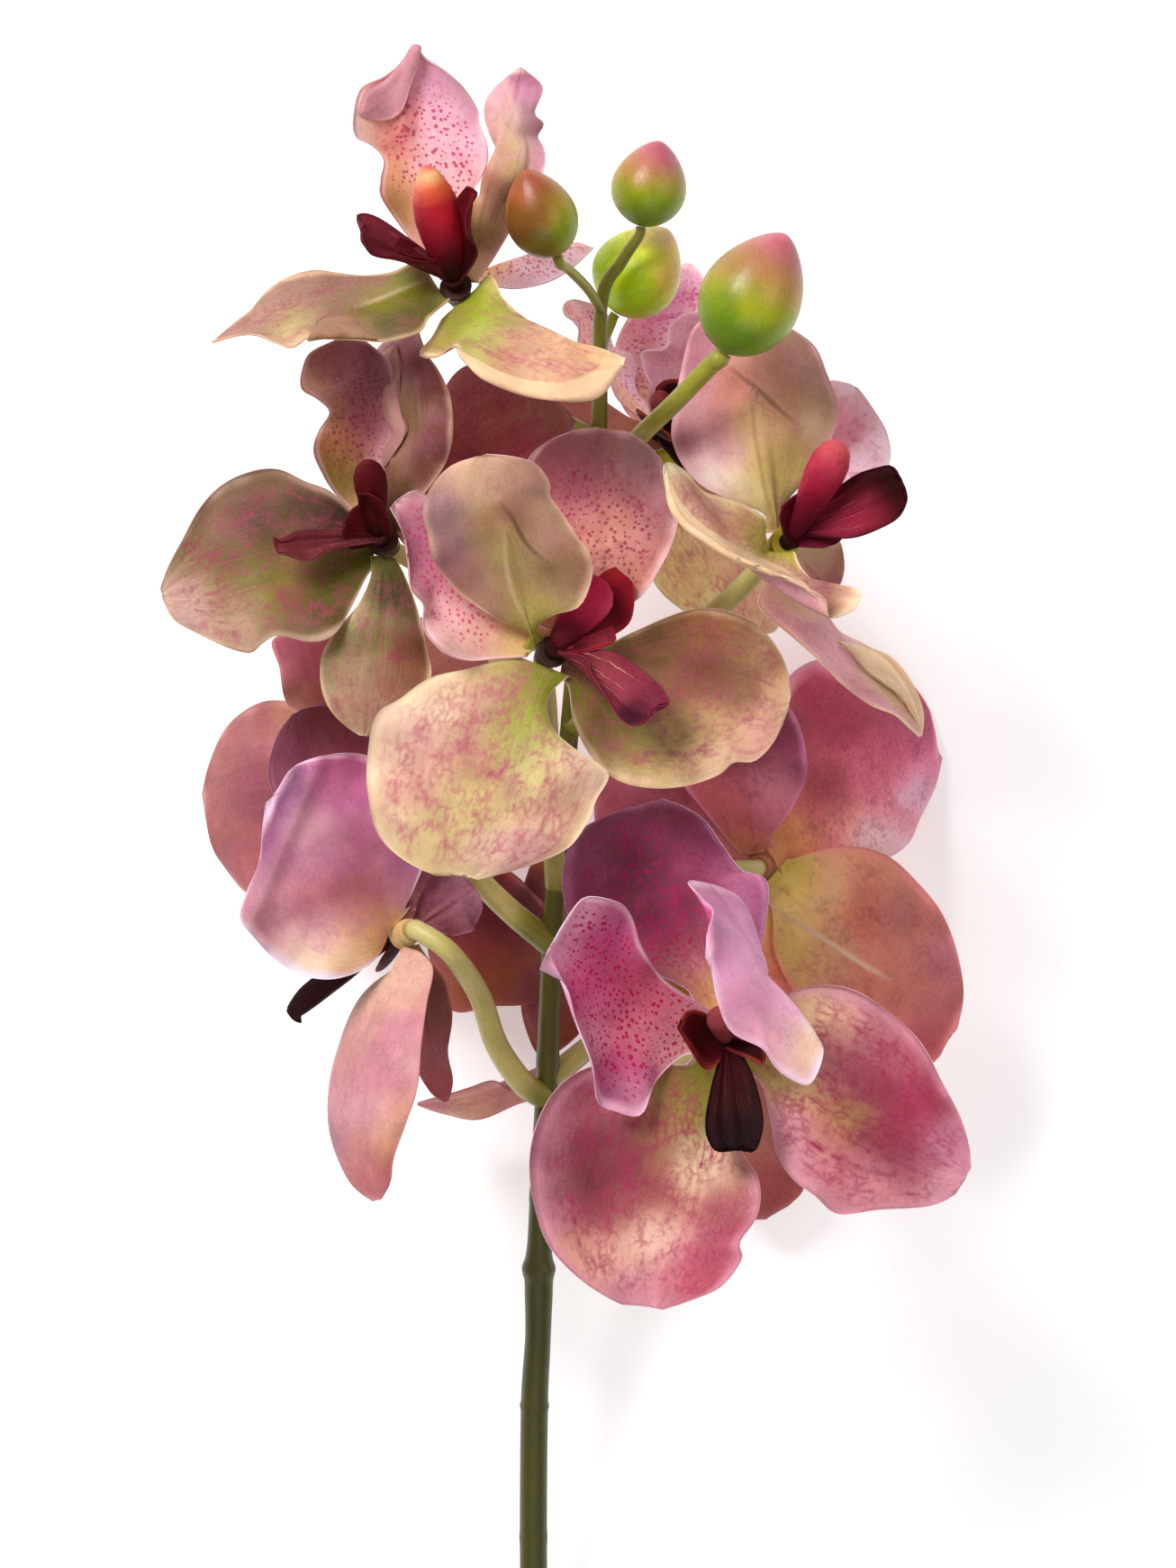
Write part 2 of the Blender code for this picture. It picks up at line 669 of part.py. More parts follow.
def midrib(spec, shares, pieces=60):
    """The midrib on a chord from (0, 0, 0) to (1, 0, 0): points with their tangent and up direction."""
    line, ups = [Vector()], []
    for i in range(pieces):
        u = (i + 0.5) / pieces
        pitch = math.radians(spec.bend * (u - 0.5))
        yaw = math.radians(spec.sway * (u - 0.5))
        step = Vector((math.cos(pitch) * math.cos(yaw), math.sin(yaw), math.sin(pitch)))
        line.append(line[-1] + step)
        ups.append(Vector((-math.sin(pitch), 0, math.cos(pitch))))
    level = line[-1].rotation_difference(Vector((1, 0, 0)))
    stations = []
    for u in shares:
        at = min(pieces - 1, int(u * pieces))
        here = line[at].lerp(line[at + 1], u * pieces - at) / line[-1].length
        tangent = (line[at + 1] - line[at]).normalized()
        stations.append((level @ here, level @ tangent, level @ ups[at]))
    return stations


def margin_wave(spec, u, side):
    """Height of the wave in a margin at share u, on the left (1) or right (-1)."""
    swing = math.sin(2 * math.pi * (WAVES * u + (WAVE_LAG if side > 0 else 0.0)))
    return spec.wave * swing * min(1.0, u / WAVE_START)


def section_point(spec, u, v, share):
    """A point of a tepal's arched cross-section: its distance to the left and its height.

    v runs from -1 at the right margin to 1 at the left one.
    """
    leaning = spec.skew * math.copysign(min(1.0, abs(v) * 2), v)
    wide = spec.width / 2 * share * (1 + leaning)
    curl = math.radians(spec.left if v > 0 else spec.right)
    out = wide * math.sin(curl * v) / curl
    lift = wide * (1 - math.cos(curl * v)) / curl
    return out, lift + margin_wave(spec, u, v) * abs(v) ** WAVE_DEPTH * math.sqrt(share)


def blade_rows(base, tip, spec, normal, shares, columns, claw=CLAW_SHARE):
    """Rows of points of a leaf-like surface, from its claw to its tip, where the whole row is one point."""
    chord = tip - base
    ahead = chord.normalized()
    up = across(normal, ahead)
    frame = Matrix((ahead, up.cross(ahead), up)).transposed()
    rows = []
    for u, (here, tangent, rise) in zip(shares, midrib(spec, shares)):
        share = outline(u, spec, claw)
        side = rise.cross(tangent).normalized()
        row = []
        for i in range(columns + 1):
            v = 2 * i / columns - 1
            out, lift = section_point(spec, u, v, share)
            row.append(base + frame @ (here * chord.length + side * out + tangent.cross(side) * lift))
        rows.append(row)
    return rows


def claw_point(hub, face, spec):
    """Where a tepal's midrib starts in the hub."""
    way = Vector(spec.root) if spec.root else place(spec.tip) - hub
    return hub - face * CLAW_DEPTH + across(way, face) * CLAW_RADIUS


def tepal_normal(base, spec):
    """The way a tepal's face looks: straight up from the surface, or as given, then turned by its roll."""
    ahead = (place(spec.tip) - base).normalized()
    look = Vector(spec.look or (0, 0, 1))
    return Matrix.Rotation(math.radians(spec.roll), 3, ahead) @ across(look, ahead)


def margin_path(start, places, end):
    """A smooth path of a margin, with its lift as its height, and each point's share of its length."""
    through = [start.copy()]
    for across_plan, down_plan, *lift in places:
        through.append(place((across_plan, down_plan, lift[0] if lift else 0.0)))
    through.append(end.copy())
    through[0].z = through[-1].z = 0.0
    path, _ = spline_through(through, [0.0] * len(through), MARGIN_STEPS)
    return path, length_shares(path)


def length_shares(path):
    """How far along a path each of its points lies, as a share of its length."""
    lengths = [0.0]
    for before, after in zip(path, path[1:]):
        lengths.append(lengths[-1] + (after - before).length)
    return [length / lengths[-1] for length in lengths]


def path_point(path, shares, share):
    for i in range(1, len(path)):
        if shares[i] >= share:
            return path[i - 1].lerp(path[i], (share - shares[i - 1]) / (shares[i] - shares[i - 1]))
    return path[-1]


def margin_shift(rows, column, places):
    """How far each row's end moves for a margin to pass through its places."""
    margin = [Vector((row[column].x, row[column].y, 0.0)) for row in rows]
    path, shares = margin_path(margin[0], places, margin[-1])
    return [path_point(path, shares, share) - point for share, point in zip(length_shares(margin), margin)]


def fit_margins(rows, margins):
    """Moves the rows of a blade in plan until its margins pass through their places, and lifts them there."""
    middle = rows[len(rows) // 2]
    first, second = (place((*places[len(places) // 2][:2], 0.0)) for places in margins)
    right, left = (Vector((point.x, point.y, 0.0)) for point in (middle[0], middle[-1]))
    straight = (first - right).length + (second - left).length
    crossed = (first - left).length + (second - right).length
    if crossed < straight:
        margins = (margins[1], margins[0])
    shifts = (margin_shift(rows, 0, margins[0]), margin_shift(rows, -1, margins[1]))
    last = len(middle) - 1
    for i, row in enumerate(rows):
        for j, point in enumerate(row):
            v = 2 * j / last - 1
            point += shifts[v > 0][i] * abs(v)


def tepal_rows(bloom, spec, claw_rows=4, end_rows=4, columns=4):
    hub, face = place(bloom.hub), unit(bloom.face)
    base = claw_point(hub, face, spec)
    shares = row_shares(spec.widest, claw_rows, end_rows)
    rows = blade_rows(base, place(spec.tip), spec, tepal_normal(base, spec), shares, columns)
    if spec.margins:
        fit_margins(rows, spec.margins)
    return rows


def material(name, colour):
    made = bpy.data.materials.new(name)
    made.use_nodes = True
    shader = made.node_tree.nodes["Principled BSDF"]
    shader.inputs["Base Color"].default_value = (*colour, 1.0)
    shader.inputs["Roughness"].default_value = ROUGHNESS
    shader.inputs["Metallic"].default_value = 0.0
    made.diffuse_color = (*colour, 1.0)
    return made


def add_object(name, mesh, collection):
    made = bpy.data.objects.new(name, mesh)
    collection.objects.link(made)
    return made


def sheet(name, rows, thickness, collection):
    """A grid laid through rows of points, made solid. Every face is a triangle before it is thickened."""
    bm = bmesh.new()
    bmesh.ops.create_grid(bm, x_segments=len(rows[0]) - 1, y_segments=len(rows) - 1, size=1.0)
    for vert, point in zip(bm.verts, [point for row in rows for point in row]):
        vert.co = point * METRES
    bmesh.ops.remove_doubles(bm, verts=bm.verts, dist=WELD)
    bmesh.ops.triangulate(bm, faces=bm.faces)
    mesh = bpy.data.meshes.new(name)
    bm.to_mesh(mesh)
    bm.free()
    made = add_object(name, mesh, collection)
    solid = made.modifiers.new("Thickness", "SOLIDIFY")
    solid.thickness = thickness * METRES
    solid.offset = 0.0
    return made


def frustum(name, start, end, radius1, radius2, segments, collection):
    """A capped cone or cylinder from one point to another."""
    bm = bmesh.new()
    length = (end - start).length
    bmesh.ops.create_cone(
        bm, cap_ends=True, segments=segments, radius1=radius1 * METRES, radius2=radius2 * METRES,
        depth=length * METRES,
    )
    bmesh.ops.triangulate(bm, faces=bm.faces)
    mesh = bpy.data.meshes.new(name)
    bm.to_mesh(mesh)
    bm.free()
    made = add_object(name, mesh, collection)
    made.matrix_world = axis_frame(start.lerp(end, 0.5), end - start)
    return made


def axis_frame(point, axis):
    """A placement in metres whose Z runs along an axis."""
    return Matrix.Translation(point * METRES) @ axis.to_track_quat("Z", "Y").to_matrix().to_4x4()


def tube(name, points, radii, sides, collection):
    """A curve with a bevel through points, each with its own radius, made a mesh with welded caps."""
    curve = bpy.data.curves.new(name, "CURVE")
    curve.dimensions = "3D"
    curve.twist_mode = "Z_UP"
    curve.bevel_depth = METRES
    curve.bevel_resolution = (sides - 4) // 2
    curve.use_fill_caps = True
    spline = curve.splines.new("POLY")
    spline.points.add(len(points) - 1)
    for knot, point, radius in zip(spline.points, points, radii):
        knot.co = (*(point * METRES), 1.0)
        knot.radius = radius
        knot.tilt = math.pi / sides  # a facet, not an edge, faces straight down
    source = add_object(name + "_curve", curve, collection)
    depsgraph = bpy.context.evaluated_depsgraph_get()
    mesh = bpy.data.meshes.new_from_object(source.evaluated_get(depsgraph))
    mesh.name = name
    bm = bmesh.new()
    bm.from_mesh(mesh)
    bmesh.ops.remove_doubles(bm, verts=bm.verts, dist=WELD)
    bmesh.ops.triangulate(bm, faces=bm.faces)
    bmesh.ops.recalc_face_normals(bm, faces=bm.faces)
    bm.to_mesh(mesh)
    bm.free()
    made = add_object(name, mesh, collection)
    made.matrix_world = source.matrix_world
    bpy.data.objects.remove(source)
    bpy.data.curves.remove(curve)
    return made


def spline_through(points, radii, steps):
    """Points and radii along a smooth path through given ones, with evenly many steps between each two."""
    path, sizes = [], []
    last = len(points) - 1
    for i in range(last):
        before, here = points[max(0, i - 1)], points[i]
        there, after = points[i + 1], points[min(last, i + 2)]
        for k in range(steps):
            t = k / steps
            path.append(
                0.5 * (2 * here + (there - before) * t
                + (2 * before - 5 * here + 4 * there - after) * t * t
                + (3 * here - before - 3 * there + after) * t ** 3)
            )
            sizes.append(radii[i] + (radii[i + 1] - radii[i]) * t)
    return path + [points[last]], sizes + [radii[last]]


def joined(name, pieces, main_collection, solver="EXACT"):
    """One Boolean union of all pieces, kept as one object."""
    group = bpy.data.collections.new(name + "_pieces")
    bpy.context.scene.collection.children.link(group)
    first, others = pieces[0], pieces[1:]
    for piece in others:
        for owner in list(piece.users_collection):
            owner.objects.unlink(piece)
        group.objects.link(piece)
    union = first.modifiers.new("Union", "BOOLEAN")
    union.operation = "UNION"
    union.operand_type = "COLLECTION"
    union.collection = group
    union.solver = solver
    depsgraph = bpy.context.evaluated_depsgraph_get()
    mesh = bpy.data.meshes.new_from_object(first.evaluated_get(depsgraph))
    mesh.name = name
    mesh.transform(first.matrix_world)
    made = add_object(name, mesh, main_collection)
    for piece in pieces:
        bpy.data.objects.remove(piece)
    bpy.data.collections.remove(group)
    return made


def lip_lobes(bloom, heart, claw_rows=2, end_rows=3, columns=2):
    """Rows of points for the lip's middle lobe and for the two side lobes that stand beside the column."""
    face, tip = unit(bloom.face), place(bloom.lip)
    down = across(tip - heart, face)
    side = face.cross(down)
    ends = {"middle": (replace(MIDDLE_LOBE, margins=bloom.lip_margins), tip, face)}
    for name, turn in (("left", 1), ("right", -1)):
        if name in bloom.side_lobes:
            end, margins = bloom.side_lobes[name]
            ends[name] = (replace(SIDE_LOBE, margins=margins), place(end), face)
        else:
            end = heart + face * SIDE_LOBE_LENGTH + side * (turn * SIDE_LOBE_SPREAD) - down
            ends[name] = (SIDE_LOBE, end, side * -turn)
    rows = {}
    for name, (spec, end, look) in ends.items():
        shares = row_shares(spec.widest, claw_rows, end_rows)
        normal = across(look, (end - heart).normalized())
        rows[name] = blade_rows(heart, end, spec, normal, shares, columns, LIP_CLAW_SHARE)
        if spec.margins:
            fit_margins(rows[name], spec.margins)
    return rows


def tepal_pieces(name, bloom, collection):
    """The hub and the five tepals of a bloom, each still apart."""
    hub, face = place(bloom.hub), unit(bloom.face)
    back = hub - face * HUB_DEPTH
    pieces = [frustum(name + "_hub", back, hub, HUB_BACK_RADIUS, HUB_RADIUS, HUB_SIDES, collection)]
    for key, spec in bloom.tepals.items():
        pieces.append(sheet(f"{name}_{key}", tepal_rows(bloom, spec), TEPAL_THICKNESS, collection))
    return pieces


def lip_pieces(name, bloom, collection):
    """The lip's foot, its three lobes and the column above them, each still apart."""
    hub, face = place(bloom.hub), unit(bloom.face)
    foot = hub + face * GAP
    top = foot + face * LIP_FOOT_LENGTH
    heart = top - face
    column_tip = place(bloom.column)
    column = [heart.lerp(column_tip, share) for share, _ in COLUMN_SHAPE]
    radii = [radius * bloom.column_radius for _, radius in COLUMN_SHAPE]
    pieces = [
        frustum(name + "_foot", foot, top, *LIP_FOOT_RADII, LIP_SIDES, collection),
        tube(name + "_column", column, radii, LIP_SIDES, collection),
    ]
    for key, grid in lip_lobes(bloom, heart).items():
        pieces.append(sheet(f"{name}_{key}", grid, LIP_THICKNESS, collection))
    return pieces


def stem_point(height):
    """The point of the stem's axis at a height in the plan."""
    for (upper, _), (lower, _) in zip(STEM[1:], STEM):
        if upper[1] <= height:
            return place(lower).lerp(place(upper), (lower[1] - height) / (lower[1] - upper[1]))
    return place(STEM[-1][0])


def stalk(name, leaves, route, end, way, radii, collection):
    """A stalk that leaves the stem's axis at a height and meets its flower or bud squarely."""
    points = [stem_point(leaves)] + [place(p) for p in route] + [end - way * STALK_RUN_IN]
    count = len(points) - 1
    first, last = radii
    path, sizes = spline_through(points, [first + (last - first) * i / count for i in range(count + 1)], 2)
    return tube(name, path + [end], sizes + [last], STALK_SIDES, collection)


def bud_seat(spec):
    """Where a bud's stalk ends, and the way it points there."""
    foot = place(spec.foot)
    way = (place(spec.tip) - foot).normalized()
    return foot - way * GAP, way


def stem_pieces(collection):
    """The stem itself and every stalk on it, each still apart."""
    end, way = bud_seat(BUDS["top"])
    points = [place(point) for point, radius in STEM] + [end - way * STALK_RUN_IN, end]
    radii = [radius for point, radius in STEM] + [BUDS["top"].stalk_radius] * 2
    pieces = [tube("stem_axis", points, radii, STEM_SIDES, collection)]
    for name, bloom in BLOOMS.items():
        hub, face = place(bloom.hub), unit(bloom.face)
        end = hub - face * (HUB_DEPTH + GAP)
        pieces.append(
            stalk("stem_to_" + name, bloom.leaves, bloom.stalk, end, face, bloom.stalk_radii, collection)
        )
    for name, spec in BUDS.items():
        radii = (spec.stalk_radius, spec.stalk_radius)
        if spec.stalk:
            end, way = bud_seat(spec)
            pieces.append(stalk("stem_to_bud_" + name, spec.leaves, spec.stalk, end, way, radii, collection))
    return pieces


def bud(name, spec, collection):
    """A closed bud: a turned profile, blunt at its foot and narrower at its tip."""
    foot, axis = place(spec.foot), place(spec.tip) - place(spec.foot)
    bm = bmesh.new()
    profile = []
    for i in range(BUD_ROWS, -1, -1):
        height = (1 - math.cos(math.pi * i / BUD_ROWS)) / 2
        swell = abs(math.sin(math.pi * height ** BUD_EGG)) ** BUD_FULLNESS if 0 < i < BUD_ROWS else 0.0
        profile.append(bm.verts.new((spec.width / 2 * swell * METRES, 0.0, axis.length * height * METRES)))
    for upper, lower in zip(profile, profile[1:]):
        bm.edges.new((upper, lower))
    mesh = bpy.data.meshes.new(name)
    bm.to_mesh(mesh)
    bm.free()
    made = add_object(name, mesh, collection)
    screw = made.modifiers.new("Turn", "SCREW")
    screw.steps = BUD_SIDES
    screw.render_steps = BUD_SIDES
    screw.use_merge_vertices = True
    screw.merge_threshold = 0.00001
    made.matrix_world = axis_frame(foot, axis)
    return made


def paint(thing, made_material):
    thing.data.materials.clear()
    thing.data.materials.append(made_material)
    thing.data.shade_smooth()
    thing.data.set_sharp_from_angle(angle=math.radians(SHARP_ANGLE))


def main():
    for thing in list(bpy.data.objects):
        bpy.data.objects.remove(thing)
    spray = bpy.data.collections.new("vanda_spray")
    bpy.context.scene.collection.children.link(spray)
    for name, bloom in BLOOMS.items():
        pieces = tepal_pieces("bloom_" + name, bloom, spray)
        made = joined("bloom_" + name, pieces, spray)
        paint(made, material("petal_" + name, bloom.colour))
        made = joined("lip_" + name, lip_pieces("lip_" + name, bloom, spray), spray)
        paint(made, material("lip_red_" + name, LIP_COLOUR))
    paint(joined("stem", stem_pieces(spray), spray, "MANIFOLD"), material("stem_green", STEM_COLOUR))
    for name, spec in BUDS.items():
        paint(bud("bud_" + name, spec, spray), material("bud_" + name, spec.colour))


if __name__ == "__main__":
    main()
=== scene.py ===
"""Looks of the cut vanda orchid: petals, lips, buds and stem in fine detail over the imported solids.

Lengths are in millimetres up to the point where meshes are made. Places across the spray are in plan units
to the right and down, each with a height above the surface in millimetres, as in the solids' own source.
"""

import json
import math
from dataclasses import dataclass, field, replace

import bpy
import numpy as np
from mathutils import Matrix, Vector, noise

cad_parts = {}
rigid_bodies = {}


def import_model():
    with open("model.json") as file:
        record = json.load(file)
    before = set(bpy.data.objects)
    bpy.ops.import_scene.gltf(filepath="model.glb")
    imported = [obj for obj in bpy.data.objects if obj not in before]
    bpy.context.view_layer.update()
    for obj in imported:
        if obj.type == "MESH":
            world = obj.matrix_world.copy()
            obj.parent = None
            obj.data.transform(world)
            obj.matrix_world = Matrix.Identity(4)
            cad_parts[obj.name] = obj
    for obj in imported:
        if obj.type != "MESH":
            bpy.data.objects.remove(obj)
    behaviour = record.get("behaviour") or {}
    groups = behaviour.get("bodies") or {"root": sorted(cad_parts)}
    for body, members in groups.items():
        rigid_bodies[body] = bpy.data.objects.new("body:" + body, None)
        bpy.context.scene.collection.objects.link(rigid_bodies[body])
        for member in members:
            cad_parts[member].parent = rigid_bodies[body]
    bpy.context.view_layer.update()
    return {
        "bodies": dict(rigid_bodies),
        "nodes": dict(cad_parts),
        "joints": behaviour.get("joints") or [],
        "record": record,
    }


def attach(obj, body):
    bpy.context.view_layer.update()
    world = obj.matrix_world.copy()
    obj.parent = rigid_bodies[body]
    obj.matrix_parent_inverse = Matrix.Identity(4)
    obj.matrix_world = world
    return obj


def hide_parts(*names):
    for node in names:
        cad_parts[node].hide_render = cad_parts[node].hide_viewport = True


METRES = 0.001
PLAN_UNIT = 0.19  # millimetres
PLAN_ORIGIN = (632.7, 1107.2)
PLAN_VIEW = (653.0, 870.5)  # the plan place in the middle of the photograph's frame
FRAME_HEIGHT = 1741 * PLAN_UNIT  # millimetres of the plan that the photograph's height takes in
CAMERA_HEIGHT = 8000.0
MIDDLE_HEIGHT = 75.0  # height above the surface at which the plan's scale holds
SENSOR = 36.0
CLIP_END = 100.0  # metres

GAP = 0.3
CLAW_RADIUS = 3.1
CLAW_DEPTH = 1.7
CLAW_SHARE = 0.22
WAVES = 2.5
WAVE_LAG = 0.37
WAVE_START = 0.4
WAVE_DEPTH = 2.5
HUB_RADIUS = 3.5
HUB_BACK_RADIUS = 2.6
HUB_DEPTH = 4.2
LIP_FOOT_LENGTH = 3.2
LIP_FOOT_RADII = (2.3, 1.8)
LIP_CLAW_SHARE = 0.3
SIDE_LOBE_LENGTH = 15.0
SIDE_LOBE_SPREAD = 6.0
STALK_RUN_IN = 2.0
BUD_EGG = 0.82
BUD_FULLNESS = 0.62

PETAL_ROWS = 54
PETAL_COLUMNS = 32
PETAL_THICKNESS = 0.62
MARGIN_THICKNESS = 0.3
LOBE_ROWS = 30
LOBE_COLUMNS = 20
LOBE_THICKNESS = 1.4
SIDE_LOBE_THICKNESS = LOBE_THICKNESS * 0.8
LOBE_MARGIN = 0.45  # its thickness
LOBE_END = 0.985  # share of a lobe's length that is modelled, so that its end stays blunt
LIP_RIDGES = 0.28  # height of the ridges along the middle lobe
RUFFLE = 0.35  # share of a margin's wave height that its finer ruffles reach
RAGGED = 0.03  # share of a tepal's width that its margin wanders by
SWELLS = ((15.0, 1.25), (6.0, 0.35))  # wavelength and height of the swells in a petal
PLEAT_HEIGHT = 0.1
PLEATS = 17  # radians of pleats from the midrib to a margin
PLEAT_WANDER = 12  # millimetres
RIB_HEIGHT = 0.45  # midrib on the back of a tepal
RIB_WIDTH = 0.07  # its half-width, as a share of the tepal's
FLAP_COLUMNS = 12
FLAP_THICKNESS = 0.5
FOLD_SHARE = 0.4  # share of a turned margin's width that its fold takes
FLAP_DROOP = 0.35  # share of its rise that it loses again towards its free edge
FLAP_SINK = 0.1  # millimetres that it dips into the petal, so that no gap shows
HUB_SIDES = 28
FOOT_SIDES = 24
STALK_SIDES = 20
STALK_STEPS = 10
STEM_SIDES = 24
STEM_STEPS = 24
STEM_SEED = 0.7
BUD_SIDES = 48
BUD_RINGS = 30
USUAL_FOLDS = 0.015  # depth of a bud's seams as a share of its radius
BUD_FOLDS = {"back": 0.075}
LIP_NOTCH = 1.6
STEM_RINGS = (  # where the stem swells: plan place down it, and the swelling's length and height in millimetres
    (1412, 1.6, 0.35), (1440, 3.0, 0.1), (1565, 0.6, 0.25), (1715, 0.6, 0.3), (1180, 2.0, 0.2), (1330, 1.5, 0.15),
)
COLUMN_PROFILES = {  # share of the column's length, share of its greatest radius
    "leaf": (
        (0.02, 0.42), (0.1, 0.6), (0.25, 0.8), (0.4, 0.96), (0.55, 1.04), (0.7, 0.96), (0.84, 0.72), (0.94, 0.44),
        (0.985, 0.22),
    ),
    "ball": (
        (0.02, 0.4), (0.12, 0.55), (0.3, 0.75), (0.5, 0.98), (0.66, 1.12), (0.8, 1.1), (0.91, 0.85), (0.97, 0.5),
    ),
}
ZONE_GAIN = 0.88  # the zones' colours are those of petals that are partly in shade
DEPTH = 0.13  # how much further from grey the dark colours are, and a quarter of it for pale ones
CONTRAST = 0.3  # how much further apart dark and pale colours are
MIDDLE_TONE = 0.25  # the linear grey that stays as it is
LUMINANCE = (0.21, 0.72, 0.07)
COLOUR_RANGE = (0.002, 0.86)
RIM_SHARE = 0.75  # how strongly the rim's colour shows
BROAD_WANDER = 0.07  # per millimetre: how fast the slow and the fast change of a petal's colour go
FINE_WANDER = 0.22
NO_CREASE = (9.0, 0.0, 0.0)  # millimetres to a crease, the strength of its painted line and whether that line is a painted highlight, where none is near
CREASE_STEPS = 60
RIDGE_STEPS = 40
CREASE_REACH = 0.8  # millimetres to each side of a crease that its painted line takes
# Painted shade down a crease, and painted highlight along a lit ridge
CREASE_SHADE = (0.09, 0.03, 0.02, 1.0)
RIDGE_HIGHLIGHT = (0.72, 0.52, 0.36, 1.0)
TONES = {  # how much more or less light a piece's colours take up
    "mid_left": 0.7, "centre": 0.9, "upper_right": 1.1, "low_right": 1.12, "back_right": 1.7, "bud_back": 1.5,
    "bud_left": 0.88, "lip_top_left": 1.2, "lip_mid_left": 1.3, "lip_centre": 1.25, "lip_upper_right": 1.05,
}
ZONE_BASE = 0.12  # how strongly a petal's ground shows through its colour zones
ZONE_WANDER = 5.0  # plan units by which the zones' edges wander
WORLD_LIGHT = 0.3
FLOOR_HALF = 1.6  # metres
FLOOR_HEIGHT = -0.0008  # metres: just below the lowest tepals' tips
FLOOR_GLOW = 0.35  # the floor is lit through from below, so that shadows on it stay pale
REDDER = 0.4  # how much of their extra blue the mauve colours lose
LIGHT_AIM = (0.0, 0.0, 0.05)  # metres
LIGHTS = (  # name, place in metres, side in metres, watts
    ("key", (-1.0, 1.2, 1.5), 0.8, 46.0),
    ("fill", (1.3, 0.2, 1.6), 1.4, 8.0),
    ("front", (0.0, -1.4, 1.5), 1.4, 7.0),
)


@dataclass
class Paint:
    """The colours of one side of a petal, as sRGB, and how strongly each marking shows."""

    heart: str  # next to the claw
    left: str
    right: str
    rim: str
    mark: str  # spots, veins and blotches
    reach: float = 0.35  # share of the length that the heart's colour takes
    edge: float = 0.12  # share of the half-width that the rim takes
    spots: float = 0.0
    veins: float = 0.5
    veil: float = 0.4  # blotches
    zones: str = ""  # soft places of the petal's own colour with painted shade and painted highlights in it, as "across,down,rrggbb" in the plan
    zone_reach: float = 22.0  # plan units
    spotted: str = ""  # where the spots gather, as "across,down,reach"
    tone: float = 1.0  # how much more or less light the colours take up


def dabs(paint, size, zones, **changes):
    """The same paint with soft zones of colour, painted shade and painted highlights in them, that reach a few plan
    units.
    """
    return replace(paint, zones=zones, zone_reach=size, **changes)


def rows(text):
    """The rows of numbers in a text such as "412,95 420,88,5"."""
    return [tuple(float(value) for value in row.split(",")) for row in text.split()]


@dataclass
class Tepal:
    """One sepal or petal. Angles are in degrees, and a positive one turns or curls towards the face."""

    tip: tuple
    width: float
    roll: float = 0.0  # face turned about the midrib, away from straight up
    bend: float = 20.0  # curve of the midrib from claw to tip
    sway: float = 0.0  # sideways curve of the midrib
    left: float = 15.0  # curl of the left half, seen from its face with the tip up
    right: float = 15.0
    widest: float = 0.6  # where it is widest, as a share of its length
    skew: float = 0.0  # left half wider, right half narrower
    wave: float = 1.2  # height of the waves in its margin
    point: float = 0.5  # 0.5 is a round end, and 1 a pointed one
    neck: float = 1.35  # how slowly it widens from its claw
    look: tuple = None  # the way the face looks before the roll, where that isn't straight up
    root: tuple = None  # the side of the hub that it grows from, where that isn't the side of its tip
    margins: str = ""  # its two margins from claw to tip, as plan places "across,down" or "across,down,lift"


MIDDLE_LOBE = Tepal(None, 10.0, bend=25, left=35, right=35, wave=0.0, neck=1.0, point=0.35, widest=0.7)
SIDE_LOBE = Tepal(None, 11.0, left=20, right=20, wave=0.0, neck=1.0)


@dataclass
class Bloom:
    """One flower: where it is, the way it faces, the ends of its lip and column, its tepals and its stalk."""

    hub: tuple
    face: tuple
    lip: tuple
    column: tuple
    tepals: dict
    leaves: float  # plan height where its stalk leaves the stem
    stalk: list
    stalk_radii: tuple = (2.4, 2.0)
    column_radius: float = 3.0
    lip_margins: str = ""  # as a tepal's
    side_lobes: dict = field(default_factory=dict)  # the end and the margins of each that isn't a usual one


@dataclass
class Bud:
    """One closed bud, from its foot to its tip."""

    foot: tuple
    tip: tuple
    width: float
    leaves: float = 0.0  # plan height where its stalk leaves the stem
    stalk: tuple = ()
    stalk_radius: float = 1.1


